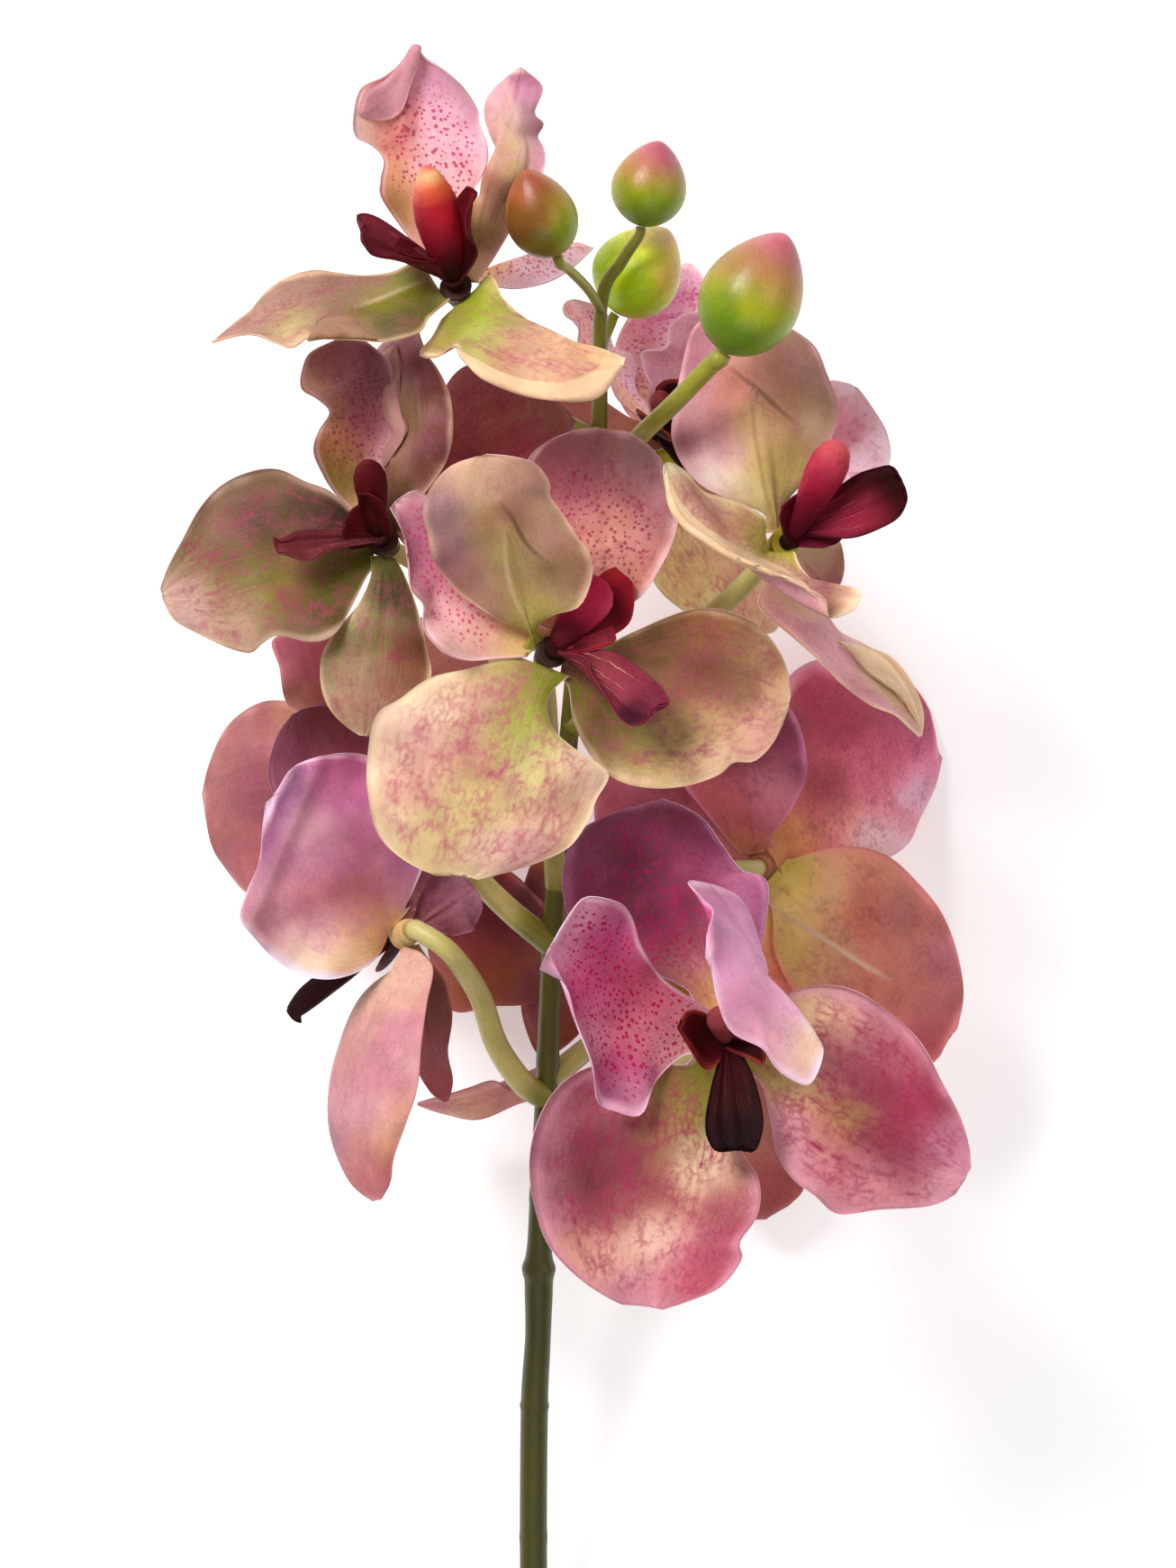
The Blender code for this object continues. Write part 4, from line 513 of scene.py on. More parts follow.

# The face's paint and the back's, by bloom and tepal; their zones hold painted shade and painted highlights along with
# the petals' own colours
PAINTS = {
    "top_left.back": (
        dabs(SPECKLED, 22, """
            467,58,c48c98 440,92,c48488 398,130,ecc8b8 410,152,ecbcac 440,130,d48478 432,165,d88c78
            445,200,d8a878 432,235,bc9c5c 480,90,d49cc4 500,120,dcacc8 490,150,ecbcd0 532,160,e8b8c8
            482,185,e8b8c8 512,205,e8bcbc 528,135,cc98bc""",
            spotted="470,150,34 505,165,32 450,185,30 470,120,22 500,205,26"), PINK_BACK),
    "top_left.upper_right": (
        SPECKLED,
        dabs(PINK_BACK, 13, """
            578,82,98547c 594,90,b0709c 590,104,cc8cb4 585,120,d0a0b8 561,96,d8a0b4 546,118,dcaab4 550,140,dcb0a8
            565,132,ccac94 572,158,c8b080 571,188,b8a068 556,172,cca088 547,205,ac8060 561,215,80603c
            555,240,84643c 525,236,c0a070 527,262,a89058 545,262,8c7444 592,160,d8a4b0 603,180,d49cb8
            602,140,a45c90 596,204,cc9c9c 585,140,d4a8b4""", rim="#d8b0b0", edge=0.1)),
    # its zone at 375,368 is painted shade
    "top_left.left": (
        dabs(OLIVE, 17, """
            463,300,6c5c34 456,320,8c9430 420,332,949438 384,343,84783c 463,345,5c6026 427,357,585428
            341,316,a08070 372,316,90705c 413,311,8c6c4c 306,338,a88474 323,363,a49660 277,352,b08c76
            248,368,bc9084 323,381,d4b090 375,368,a07864 400,372,a88860""", veins=0.5, veil=0.7), TAN_BACK),
    "top_left.lower_right": (
        dabs(CREAM, 20, """
            512,330,6c6c30 525,345,a0b03c 540,355,a8b848 500,355,8c8c38 560,350,9c9050 545,380,b8b868
            570,375,cca088 490,385,a09448 600,395,cca080 580,410,c89c84 620,400,d0a484 640,420,cc9480
            670,405,d8b888 690,398,d8bc94 650,395,c8a070 560,400,c08c6c""", reach=0.45), TAN_BACK),
    "top_left.far_right": (SPECKLED, LILAC_BACK),
    "mid_left.back": (
        dabs(SPECKLED, 20, """
            370,391,a8605c 354,400,b47068 408,391,a05c70 340,430,dcb094 359,463,dcb898 384,456,a05850
            406,470,a85c6c 384,491,a86044 370,484,b87c50 363,513,a8883c 380,528,98843a 412,430,a46070""",
            mark="#7c2438", spotted="395,470,32 410,440,26 385,495,24 400,500,20", veil=0.6), PINK_BACK),
    "mid_left.upper_right": (
        SPECKLED,
        dabs(TAN_BACK, 18, """
            452,381,d49cbc 435,384,c890b0 427,409,cc9c94 427,438,d4a49c 434,481,bc8874 456,449,987450
            449,470,947048 484,441,8c4c40 491,484,945048 477,520,9c6048 434,538,8c6240 420,559,906c48
            441,574,785830 470,400,a05c60 495,420,8c4840""")),
    "mid_left.left": (
        dabs(OLIVE, 26, """
            259,541,9c8468 306,531,988060 341,556,705840 385,573,543c30 288,584,7c5c4c 234,584,a88c6c
            202,613,b8a070 256,627,988450 290,631,98904c 191,659,e0b8a4 216,681,dcb0a8 259,663,b8986c
            256,706,cca488 313,659,a08c48 341,684,685830 370,645,7c8030 399,622,687428 372,695,786840
            320,700,b09474""", rim="#d8b4a0", veins=0.8, veil=0.8), TAN_BACK),
    "mid_left.lower": (
        dabs(CREAM, 20, """
            441,616,4c5024 458,624,6c7028 434,656,404424 463,676,5c4c24 384,720,8c8050 420,706,888240
            458,713,845c38 370,752,a08c68 399,749,bc9c7c 436,745,b07c64 391,781,c89c84 413,802,cca088
            450,765,b08464 460,740,a0704c""", mark="#9c4058"), TAN_BACK),
    "mid_left.far_right": (
        dabs(DUSKY, 24, """
            513,427,bc7478 541,420,c07478 517,490,a04c3c 560,483,b05850 587,490,a84858 527,470,c8887c
            549,465,b8604c 520,503,a04838 580,450,bc7c6c 600,460,b88068""", mark="#94304c", spots=0.5, veins=0.8,
            veil=0.8), PINK_BACK),
    "centre.front_left": (
        SPECKLED,
        dabs(TAN_BACK, 22, """
            490,533,d4a494 520,532,dcb494 543,515,d0a88c 573,530,c09478 600,550,b88c7c 613,570,b89474
            483,563,967080 500,583,a07c78 493,613,a06c78 517,637,b07c74 540,587,b08a64 567,580,a87c54
            563,613,b0a060 587,685,b4ac4c 550,670,b88a78 573,657,a89050 613,643,a0825a 633,630,a07c54
            647,620,986c4c 627,683,a08c50 607,710,8c9030""")),
    "centre.left": (
        dabs(SPECKLED, 22, """
            443,557,d8a0ac 457,580,cc88b0 467,623,b878a8 463,650,c088a8 483,643,e090a0 500,670,e0a4a4
            480,687,d4a0a8 500,713,dcb0a4 533,703,dca898 570,705,d0b070 480,610,d88ca4""", mark="#c8306c",
            spotted="478,620,34 490,665,34 460,580,26 530,700,18"), PINK_BACK),
    "centre.back": (
        dabs(SPECKLED, 26, """
            607,510,a45c60 640,505,a4606c 667,487,b07c80 700,495,b08478 722,517,c0949c 620,537,a05468
            650,540,a8606c 700,543,b87474 683,577,d8947c 640,583,cc807c 660,612,d89880 742,583,c08480
            748,613,c48878 720,627,c88070 710,657,d09474""", mark="#98244c",
            spotted="690,595,44 655,580,34 700,635,26 640,545,30", veil=0.6), PINK_BACK),
    # its dark brown zones over the upper half are painted shade
    "centre.right": (
        dabs(OLIVE, 26, """
            777,697,a46c48 817,703,ac7c58 847,730,b48c68 783,743,8c5044 733,730,8c6444 817,757,8c6450
            767,777,a46c58 833,772,a07850 867,777,d4a888 850,820,e0a898 800,807,c49c70 767,817,bca468
            793,843,e0b898 733,837,bca468 750,863,ccb080 700,830,9c9050 635,763,888440 660,787,7c7434
            683,807,84783c""", veins=0.7, veil=0.8), TAN_BACK),
    # its zones at 528,848 and 640,892 are painted shade
    "centre.lower": (
        dabs(CREAM, 24, """
            600,745,7c8030 590,770,98a038 580,792,a4a840 600,805,b4b460 550,743,b4ac60 560,762,c48c80
            500,763,d8bc98 483,782,e0c4a8 540,780,cc9c88 427,803,e0bca8 467,820,dca49c 420,853,e0bca4
            460,870,dca494 427,903,e0bc9c 517,830,d09c88 528,848,c09070 567,823,b4b060 600,843,ccc080
            533,887,ccb878 567,887,d4b888 493,903,d0b880 650,853,e0c0a0 668,870,e0bca4 640,892,c49c80
            627,917,d8b490 483,947,dcbc8c 533,953,e0bca8 583,943,dca8a0 510,967,d4b888""", veins=1.0, veil=0.6),
        TAN_BACK),
    "upper_right.front_left": (
        SPECKLED,
        dabs(PINK_BACK, 22, """
            780,380,ac7088 763,407,a86c84 757,447,c094a0 757,490,b0788c 780,520,e0c0c0 800,535,e0c8b4
            790,473,c08484 813,427,c08070 800,500,cc9ca0 853,407,b8826c 890,380,c49a84 903,413,b08a78
            920,440,a88468 873,447,b88a68 907,467,d0b48c 837,473,c8aa74 847,523,bca860 853,567,b8a468
            880,507,b09c58 867,557,a89c5c 827,553,ccc090 880,600,a8644c""")),
    "upper_right.back": (
        dabs(SPECKLED, 20, "933,427,e8bcc8 960,457,e8b8cc 940,473,d890b0 980,500,f0ccd8 967,507,e4b0c4",
            spots=0.15, veil=0.6), PINK_BACK),
    "upper_right.near": (
        dabs(CREAM, 15, """
            747,533,dcb894 747,567,e0c09c 773,590,dcb894 813,620,dcb49c 867,637,dcac98 767,547,b88074
            790,567,b87880 800,587,c0886c 827,577,c08a74 807,557,d8c890 840,593,b0ac50 867,607,a8a83c
            880,616,a09838 907,650,b07c74 920,672,84543c 942,667,d8ac90""", mark="#a84464", veins=0.9), TAN_BACK),
    "upper_right.lower_right": (
        dabs(CREAM, 17, """
            853,650,8c8a3c 880,662,74702c 900,685,8c8848 893,707,a89458 920,717,98844c 927,747,b4906c
            957,765,b08a74 987,777,b07c70 973,740,d8bc94 1000,750,e0c8a0 1013,790,e0cca0""", veins=0.3),
        TAN_BACK),
    "upper_right.far_right": (dabs(DUSKY, 14, "907,607,9c9054 917,623,a87c5c 920,640,94584c"), TAN_BACK),
    "low_right.top": (
        dabs(PURPLE, 24, """
            660,924,8c5074 700,912,84446c 740,916,94486c 780,940,984c7c 820,972,ac6494 712,956,743450
            700,1004,7c3854 740,1032,84385c 660,972,944c80 764,1004,8c3c60 756,1060,a05c6c 764,1084,b87c78
            780,1102,c49a68 836,988,b070a0 844,1014,98588c""", mark="#a01c50",
            spotted="720,970,60 740,1040,40 680,930,40"), LILAC_BACK),
    "low_right.left": (
        dabs(MAGENTA, 22, """
            648,1008,d8a0c0 618,1052,cc8cb4 680,1016,c070a8 672,1040,b84c94 660,1076,bc5890 692,1084,bc5080
            724,1108,c46c88 680,1124,c46c98 708,1148,cc8090 740,1148,cc7c98 756,1164,d4a090 692,1180,b85084
            676,1216,c070a8 708,1214,c888ac 654,1160,d898b8"""), LILAC_BACK),
    "low_right.right": (
        MAGENTA,
        dabs(LILAC_BACK, 20, """
            772,980,c080ac 804,996,c078b0 828,1020,cc8cc0 792,1052,b878a4 820,1068,d898c8 828,1108,cc88b0
            820,1132,c490ac 852,1152,d498b0 876,1160,d8a4a4 896,1160,e0c49c 892,1188,dcb49c""")),
    "low_right.lower_left": (
        dabs(ROSE_NET, 26, """
            596,1280,b87094 604,1332,b87c98 620,1204,a86480 604,1236,b07090 652,1268,783048 652,1316,6c2838
            692,1280,803448 672,1348,8c4448 652,1222,985068 732,1268,a07454 720,1308,984c50 772,1236,949044
            772,1292,d4bc98 804,1288,d4b498 748,1200,8c7440 780,1188,7c7c30 828,1308,b07c68 804,1340,a85058
            830,1348,a86068 720,1380,dcb4a4 680,1388,d8a898 740,1412,c87c8c 772,1412,b8506c 700,1434,c8889c
            806,1388,b45c74"""), PINK_BACK),
    "low_right.lower_right": (
        dabs(ROSE_NET, 26, """
            884,1116,d8bc90 920,1108,d8b498 948,1120,cc9c8c 940,1148,bc7c7c 980,1148,b87480 1012,1180,b86c84
            924,1188,b06870 964,1200,a84868 1012,1220,a84068 980,1260,ac4460 940,1240,b08c58 892,1200,b8a070
            912,1260,c07c70 924,1300,c87880 964,1312,d4909c 1012,1292,a85074 1056,1276,b87c9c 1044,1324,c48ca0
            948,1340,c47c90 874,1260,c490a4 890,1300,cc94a8"""), PINK_BACK),
    # its pale zone at 852,868 is a painted highlight
    "back_right.top": (
        MAUVE,
        dabs(MAUVE, 24, """
            868,800,70304c 884,840,844468 836,840,803a50 852,868,b87890 804,892,a85c60 772,888,b06474
            820,924,a85860 816,948,b08450 862,900,b06c84 838,948,a06054""")),
    "back_right.upper_right": (
        ROSE,
        dabs(ROSE, 26, """
            900,760,a84870 892,800,8c3450 940,800,a04060 980,788,984464 1000,840,b05078 1032,808,a0507c
            1040,852,c07098 964,860,b86480 924,868,98404c 1020,876,dc9cb8 996,916,c47c94 980,938,e0b4b4
            920,900,a85458 880,932,b88058 940,918,c08478 860,948,a06848""", spots=0.3)),
    "back_right.lower_right": (
        ROSE,
        dabs(TERRACOTTA, 26, """
            860,972,8c8440 884,980,b8a860 868,1012,c8b07c 860,1040,a89c58 884,1060,b49c60 860,1084,a88c60
            940,956,c08c74 980,972,b8806c 924,988,c8a07c 964,1004,b0685c 1004,1012,a06868 1020,1040,a46c60
            1052,1060,a06070 924,1068,b08c70 960,1090,a86c5c 1012,1100,a0645c 1052,1120,a05c64 1040,1160,984c58""")),
    "back_right.lower": (ROSE, dabs(TERRACOTTA, 26, REAR_LOW)),
    "back_right.left": (ROSE, MAUVE),
    "low_left.front": (
        MAUVE,
        dabs(LILAC_BACK, 24, """
            380,846,a8548c 400,870,b468a0 368,874,b870a0 320,866,6c4068 312,898,7c4c7c 296,938,8c5480
            284,978,a07088 340,922,c898a8 360,946,b87c94 320,962,bc8098 400,938,ac6484 440,962,a4688c
            300,1002,c08894 340,1002,b4706c 284,1030,a87880 320,1050,dcb0a0 360,1030,c89c94 340,1074,e0bc9c
            384,1062,d4b484 392,1018,b07868 416,1034,b48c58 380,982,a85c6c 412,986,a45c60""", tone=1.3)),
    "low_left.upper": (
        MAUVE, dabs(MAUVE, 24, "352,802,6c3c64 320,830,6c4070 380,818,5c2c4c 300,858,74527c 368,794,7c5070")),
    "low_left.lower": (
        DUSKY,
        dabs(DUSKY, 22, """
            472,1074,d4a898 440,1090,d4ac98 408,1114,c89c88 400,1150,c49088 440,1150,cc8ca0 424,1182,c4849c
            384,1170,c08880 456,1170,d09c9c 380,1230,c48c94 416,1242,cc98a0 440,1250,cc9c84 392,1282,c89084
            430,1270,b88060 416,1316,bc6c74 400,1298,b06464 370,1275,9c6080""", veil=0.2)),
    "low_left.right": (MAUVE, dabs(MAUVE, 22, "496,986,a06484 480,1002,98586c 515,990,b08098")),
    "low_left.far_right": (
        DUSKY, dabs(TERRACOTTA, 22, "480,1130,8c5a54 488,1170,a46870 480,1210,b46070 488,1110,6c4438")),
    "back_top.top": (
        dabs(SPECKLED, 20, """
            757,300,d0a0b8 750,323,b05c90 717,357,c07894 693,373,cc8c94 713,390,cc8c90 700,440,d09c7c
            757,357,d8a8bc 735,340,b86890""", mark="#a8306c", veil=0.8), LILAC_BACK),
    "back_top.right": (replace(SPECKLED, left="#d094b0", right="#d8a4b8", spots=0.3), LILAC_BACK),
    "back_top.left": (SPECKLED, LILAC_BACK),
    "back_top.lower": (CREAM, TAN_BACK),
}
REAR_PAINTS = {
    "back_left": (dabs(DUSKY, 26, REAR_LEFT), dabs(DUSKY, 26, REAR_LEFT)),
    "back_low": (dabs(DUSKY, 26, REAR_LOW), dabs(TERRACOTTA, 26, REAR_LOW)),
}
ANY_PAINT = (DUSKY, TERRACOTTA)
# Hub colours: the four dark ones are painted shade in the flower's heart, the others the hub's own colour
HUB_COLOURS_AND_SHADE = {
    "top_left": "#4c2c24", "mid_left": "#5c4430", "centre": "#4c3428", "upper_right": "#a4903c", "low_right": "#4c181c",
    "low_left": "#c0a070",
}


def hub_paint(name):
    """The paint of a bloom's hub, plain: the dark ones are painted shade in the flower's heart, the rest much like the
    petals round them.
    """
    tone = HUB_COLOURS_AND_SHADE.get(name, "#8c5c48")
    return Paint(tone, tone, tone, tone, "#3c1c20", veins=0.1, veil=0.3)


PLAIN = dict(veins=0.0, veil=0.4, edge=0.12)
LIP_PAINTS = {  # middle lobe, side lobes, column; their near-black zones by the hub and beside the column are painted shade
    "top_left": (
        Paint("#4c1420", "#6c2434", "#7c3040", "#6c2434", "#cc9884", veins=0.6, veil=0.0),
        dabs(Paint("#3c0c14", "#641824", "#701c2c", "#7c2836", "#3c0c18", **PLAIN), 16, """
            505,305,2c080e 497,275,5c1420 507,245,84202c 522,222,802430 520,290,3c0c14"""),
        dabs(Paint("#30080e", "#a82838", "#b03040", "#b84048", "#7c1028", **PLAIN), 11, """
            470,188,f0cc9c 480,197,e8a46c 462,205,dc8470 476,212,d8583c 490,215,cc5038 480,230,c02c34
            464,228,b44050 494,232,b0243c 470,250,a42c40 486,255,b02c44 482,270,8c2034 495,280,4c0c18
            500,300,2c080e""")),
    "mid_left": (
        Paint("#4c1c20", "#74343a", "#703038", "#84444c", "#a87068", veins=0.3, veil=0.3),
        Paint("#300a10", "#501018", "#5c1820", "#6c202c", "#2c080e", **PLAIN),
        Paint("#3c0c14", "#5c141e", "#641820", "#7c2c34", "#300810", **PLAIN)),
    "centre": (
        dabs(Paint("#4c1418", "#7c2c44", "#843448", "#8c3c50", "#d8a884", veins=0.75, veil=0.0), 13,
            """
            652,732,843440 668,748,984450 688,765,a04858 705,762,8c3850 722,777,883458 735,770,8c3450
            690,797,501c3c 672,775,6c2c48 706,797,4c1a34 658,758,7c3448"""),
        dabs(Paint("#300a10", "#8c1828", "#8c1c30", "#b03444", "#4c0c1c", **PLAIN), 14, """
            682,635,b03440 698,665,a42838 694,695,7c1c2c 665,710,98384c 646,718,4c121c 680,670,4c0c1c
            680,702,8c3040"""),
        dabs(Paint("#300a10", "#b03058", "#b43460", "#cc5878", "#8c1c3c", **PLAIN), 14, """
            668,658,c03460 655,685,b83460 675,688,b83058 640,705,541424 684,672,c85078""")),
    "upper_right": (
        dabs(Paint("#641438", "#7c2040", "#7c2440", "#4c1028", "#b0587c", veins=0.6, veil=0.0), 17,
            """
            895,582,7c2048 915,575,8c2850 940,577,a43454 970,582,983048 995,566,50181c 988,535,301214
            958,536,481820 932,552,6c1c34 960,560,94304c"""),
        dabs(Paint("#4c0c28", "#641434", "#6c1838", "#7c2440", "#3c0c1c", **PLAIN), 14, "890,560,6c183c"),
        dabs(Paint("#4c0c28", "#b84060", "#bc4464", "#c85c6c", "#7c1838", **PLAIN), 13, """
            932,498,d06468 930,515,c84c60 916,538,b83458 902,555,8c1c3c 890,575,5c1034""")),
    "low_right": (
        dabs(Paint("#4c1018", "#3c1418", "#40161a", "#2c1216", "#84343c", veins=0.35, veil=0.0), 16,
            "812,1190,541820 812,1222,4c181e 812,1245,341418 812,1266,281418"),
        dabs(Paint("#300a10", "#40101a", "#4c141c", "#a84840", "#300810", veins=0.0, veil=0.5, edge=0.3), 16,
            "778,1150,54141e 765,1140,7c242c 790,1172,6c1c28 840,1172,4c101c"),
        Paint("#4c0c14", "#94444c", "#9c4c50", "#a85454", "#5c1820", **PLAIN)),
}
DARK_LIP = LIP_PAINTS["low_right"]
FOOT_PAINT = Paint("#34101a", "#34101a", "#34101a", "#44161e", "#200810", **PLAIN)

# Bud paints: the buds' own greens, tans and pinks, with painted shade in their darker zones near the foot
BUD_PAINTS = {
    "left": dabs(Paint("#8c9a1c", "#a8602c", "#8c8a20", "#c06a50", "#7a4a20", edge=0.1, veins=0.1, veil=0.2), 15,
        """
        592,205,b8604c 580,220,b4643c 575,245,8c5c28 600,235,94682c 625,225,a89c38 637,245,94a828 630,262,84a020
        605,272,6c6c20 580,265,744c20 615,212,b07c40"""),
    "top": dabs(Paint("#84961a", "#b07c3c", "#a08c30", "#c9647c", "#9a5a30", edge=0.1, veins=0.1, veil=0.2), 16,
        """
        735,163,bc5484 718,172,c47478 745,180,bc5c7c 722,188,b87458 700,190,a88438 735,200,a89840 755,200,a89444
        695,215,7c9424 725,218,84a420 755,222,84a028 712,240,5c8010 740,242,70941c"""),
    "back": dabs(Paint("#9cb41c", "#a8b428", "#b4b83c", "#b07a50", "#6c8414", edge=0.1, veins=0.3, veil=0.2), 15,
        """
        668,285,a0bc28 690,275,a4b030 720,262,bc9c5c 745,262,b88060 715,290,bcd040 735,285,a8ac38 700,310,a8c828
        720,315,84a018 690,340,98b828 715,338,90b020 735,310,b09048 742,295,a87450 660,300,8cb018"""),
    "right": dabs(Paint("#7f9420", "#a08c3c", "#b08446", "#c8687c", "#8a6a30", edge=0.1, veins=0.1, veil=0.2),
        20, """
        865,263,c05c80 850,272,c8787c 880,290,bc5c78 840,295,b87c54 815,280,a87c54 860,310,b88454 805,300,a88c44
        790,330,8c9c28 830,330,a09c38 870,330,b89c44 885,320,b87c58 845,350,98a428 810,360,5c8414 875,360,98ac28
        825,385,5c8810 855,390,6c9414 800,345,709020"""),
}
STEM_LOW = "#504e1c"
STEM_HIGH = "#7c7c2c"
STALK_PAINT = Paint("#7d7c34", "#a8a060", "#b8ac70", "#bcb078", "#8c8440", reach=0.2, edge=0.5, veins=0.3, veil=0.2)
BUD_STALK_PAINT = Paint("#6c7428", "#8c8c3c", "#989444", "#989444", "#6c6424", reach=0.2, edge=0.5, veins=0.3, veil=0.2)

# Margins that are turned over: fold line, free edge, rise in millimetres and paint
CREAM_FLAP = Paint("#d4b08c", "#d4b08c", "#d8b898", "#e0c4a8", "#b4746c", reach=0.0, veins=0.2, veil=0.3)
PINK_FLAP = Paint("#c8948c", "#c8948c", "#cc9c98", "#dcb0ac", "#a85870", reach=0.0, veins=0.1, veil=0.3)
TAN_FLAP = Paint("#9c7458", "#9c7458", "#94684c", "#c49c84", "#7c4840", reach=0.0, veins=0.2, veil=0.3)
ROSE_FLAP = Paint("#bc8490", "#bc8490", "#c08c90", "#d0a0a4", "#9c5068", reach=0.0, veins=0.1, veil=0.3)
FLAPS = {
    "top_left.back": [
        (
            "398,128 408,104 428,90 447,70 458,52 468,52", "398,128 424,134 446,124 456,96 465,70 468,52", 1.3,
            ROSE_FLAP)],
    "top_left.left": [
        ("342,380 362,377 385,376 405,377 420,378", "342,380 355,357 372,352 394,356 420,378", 1.2, TAN_FLAP)],
    "top_left.lower_right": [
        (
            "506,388 518,404 540,424 588,442 638,447 668,440 692,406", """
                506,388 530,402 555,415 588,425 626,427 655,415 692,406""", 1.1, CREAM_FLAP)],
    "mid_left.upper_right": [
        (
            "440,383 422,398 415,430 423,460 436,482 424,502 424,524", """
                440,383 444,402 443,430 446,458 452,478 438,504 424,524""", 1.2, PINK_FLAP)],
    "upper_right.near": [
        (
            "739,522 742,560 757,585 785,606 815,625 850,638 880,646 905,664", """
                739,522 753,556 770,577 799,598 829,613 858,628 884,640 905,664""", 1.1, CREAM_FLAP)],
    "upper_right.lower_right": [
        (
            "930,712 960,720 985,735 1005,762 1016,785 1022,808", """
                930,712 948,728 962,745 982,760 1001,776 1022,808""", 1.2, CREAM_FLAP)],
}

# Creases and ridges of petals: height and width in millimetres, plan places, strength of the painted line, and whether
# that line is a painted highlight along a lit ridge instead of painted shade in a crease
CREASES = {
    "top_left.back": [(1.8, 1.6, "466,56 457,85 451,110 452,140", 0.5, False)],
    "top_left.upper_right": [
        (1.6, 2.2, "556,84 566,108 577,140 581,165 578,190", 0.4, True),
        (-0.8, 1.6, "582,150 585,180 578,215", 0.45, False)],
    "top_left.left": [(0.9, 1.6, "395,343 430,330 470,312", 0.4, True)],
    "mid_left.upper_right": [(1.4, 2.0, "452,400 462,440 463,480 455,530", 0.3, False)],
    "centre.front_left": [
        (1.3, 1.4, "556,560 567,573 580,597 590,610 607,625", 0.75, False),
        (0.8, 1.4, "561,590 563,630 572,665 590,700", 0.35, True)],
    "centre.right": [(1.2, 3.0, "650,800 690,850 740,866 790,856 835,826 866,780", 0.0, False)],
    "upper_right.front_left": [
        (1.3, 1.4, "805,405 822,418 845,437 865,455 885,472", 0.6, False),
        (0.9, 1.6, "835,440 838,480 846,525 855,575", 0.35, False)],
    "low_right.lower_left": [(1.4, 3.2, "618,1205 600,1250 597,1300 610,1350 637,1395 680,1432", 0.0, False)],
    "low_right.lower_right": [(1.2, 3.0, "1030,1190 1058,1240 1066,1285 1050,1325", 0.0, False)],
    "back_right.lower_right": [(1.6, 1.5, "858,1008 895,1030 930,1052 960,1072 988,1088", 1.0, True)],
    "back_right.upper_right": [(1.6, 3.0, "1035,830 1030,880 1000,930 960,940", 0.0, False)],
    "low_left.front": [(1.6, 2.0, "352,846 335,890 305,960 280,1020", 0.12, True)],
}


def place(point):
    """Millimetres in the spray's frame, from plan units across and down and a height in millimetres."""
    across_plan, down_plan, height = point
    return Vector(
        ((across_plan - PLAN_ORIGIN[0]) * PLAN_UNIT, (PLAN_ORIGIN[1] - down_plan) * PLAN_UNIT, height)
    )


def unit(values):
    return Vector(values).normalized()


def across(direction, axis):
    """The part of a direction that is square to an axis, as a unit vector."""
    return (direction - axis * direction.dot(axis)).normalized()


def outline(u, spec, claw):
    """Half-width of a tepal at share u of its length, as a share of its greatest half-width."""
    if u < spec.widest:
        return claw + (1 - claw) * math.sin(math.pi / 2 * u / spec.widest) ** spec.neck
    return max(0.0, 1 - ((u - spec.widest) / (1 - spec.widest)) ** 2) ** spec.point


def midrib(spec, shares, pieces=60):
    """The midrib on a chord from (0, 0, 0) to (1, 0, 0): points with their tangent and up direction."""
    line, ups = [Vector()], []
    for i in range(pieces):
        u = (i + 0.5) / pieces
        pitch = math.radians(spec.bend * (u - 0.5))
        yaw = math.radians(spec.sway * (u - 0.5))
        step = Vector((math.cos(pitch) * math.cos(yaw), math.sin(yaw), math.sin(pitch)))
        line.append(line[-1] + step)
        ups.append(Vector((-math.sin(pitch), 0, math.cos(pitch))))
    level = line[-1].rotation_difference(Vector((1, 0, 0)))
    stations = []
    for u in shares:
        at = min(pieces - 1, int(u * pieces))
        here = line[at].lerp(line[at + 1], u * pieces - at) / line[-1].length
        before, after = ups[max(0, at - 1)], ups[min(pieces - 1, at + 1)]
        tangent = (line[min(pieces, at + 2)] - line[max(0, at - 1)]).normalized()
        stations.append((level @ here, level @ tangent, level @ (before + after).normalized()))
    return stations


def margin_wave(spec, u, side, seed):
    """Height of the wave in a margin at share u, on the left (1) or right (-1), with finer ruffles on it."""
    swing = math.sin(2 * math.pi * (WAVES * u + (WAVE_LAG if side > 0 else 0.0)))
    ruffles = noise.noise(Vector((u * 9, 4.0 * (side > 0), seed))) * 2 * RUFFLE
    return spec.wave * (swing + ruffles) * min(1.0, u / WAVE_START)


def section_point(spec, u, v, share, seed):
    """A point of a tepal's arched cross-section: its distance to the left and its height."""
    leaning = spec.skew * math.copysign(min(1.0, abs(v) * 2), v)
    wide = spec.width / 2 * share * (1 + leaning)
    curl = math.radians(spec.left * smooth(-0.15, 0.15, v) + spec.right * smooth(0.15, -0.15, v))
    if abs(curl) < 0.001:
        curl = 0.001
    out = wide * math.sin(curl * v) / curl
    lift = wide * (1 - math.cos(curl * v)) / curl
    side = 1 if v > 0 else -1
    return out, lift + margin_wave(spec, u, side, seed) * abs(v) ** WAVE_DEPTH * math.sqrt(share)


def smooth(low, high, value):
    """0 below the first bound and 1 past the second, with a smooth step between."""
    t = min(1.0, max(0.0, (value - low) / (high - low)))
    return t * t * (3 - 2 * t)


def smoothed(low, high, values):
    """The same for an array of values."""
    t = np.clip((values - low) / (high - low), 0, 1)
    return t * t * (3 - 2 * t)


def stations(count, end=0.999):
    """Shares of the length, closer together near the tip."""
    return [end * (0.62 * t + 0.38 * math.sin(math.pi / 2 * t)) for t in np.linspace(0, 1, count)]


def spread(columns):
    """Places across a blade from the right margin (-1) to the left one (1), closer at the midrib and margins."""
    return [0.8 * t + 0.2 * math.sin(math.pi / 2 * t) ** 3 for t in np.linspace(-1, 1, columns)]


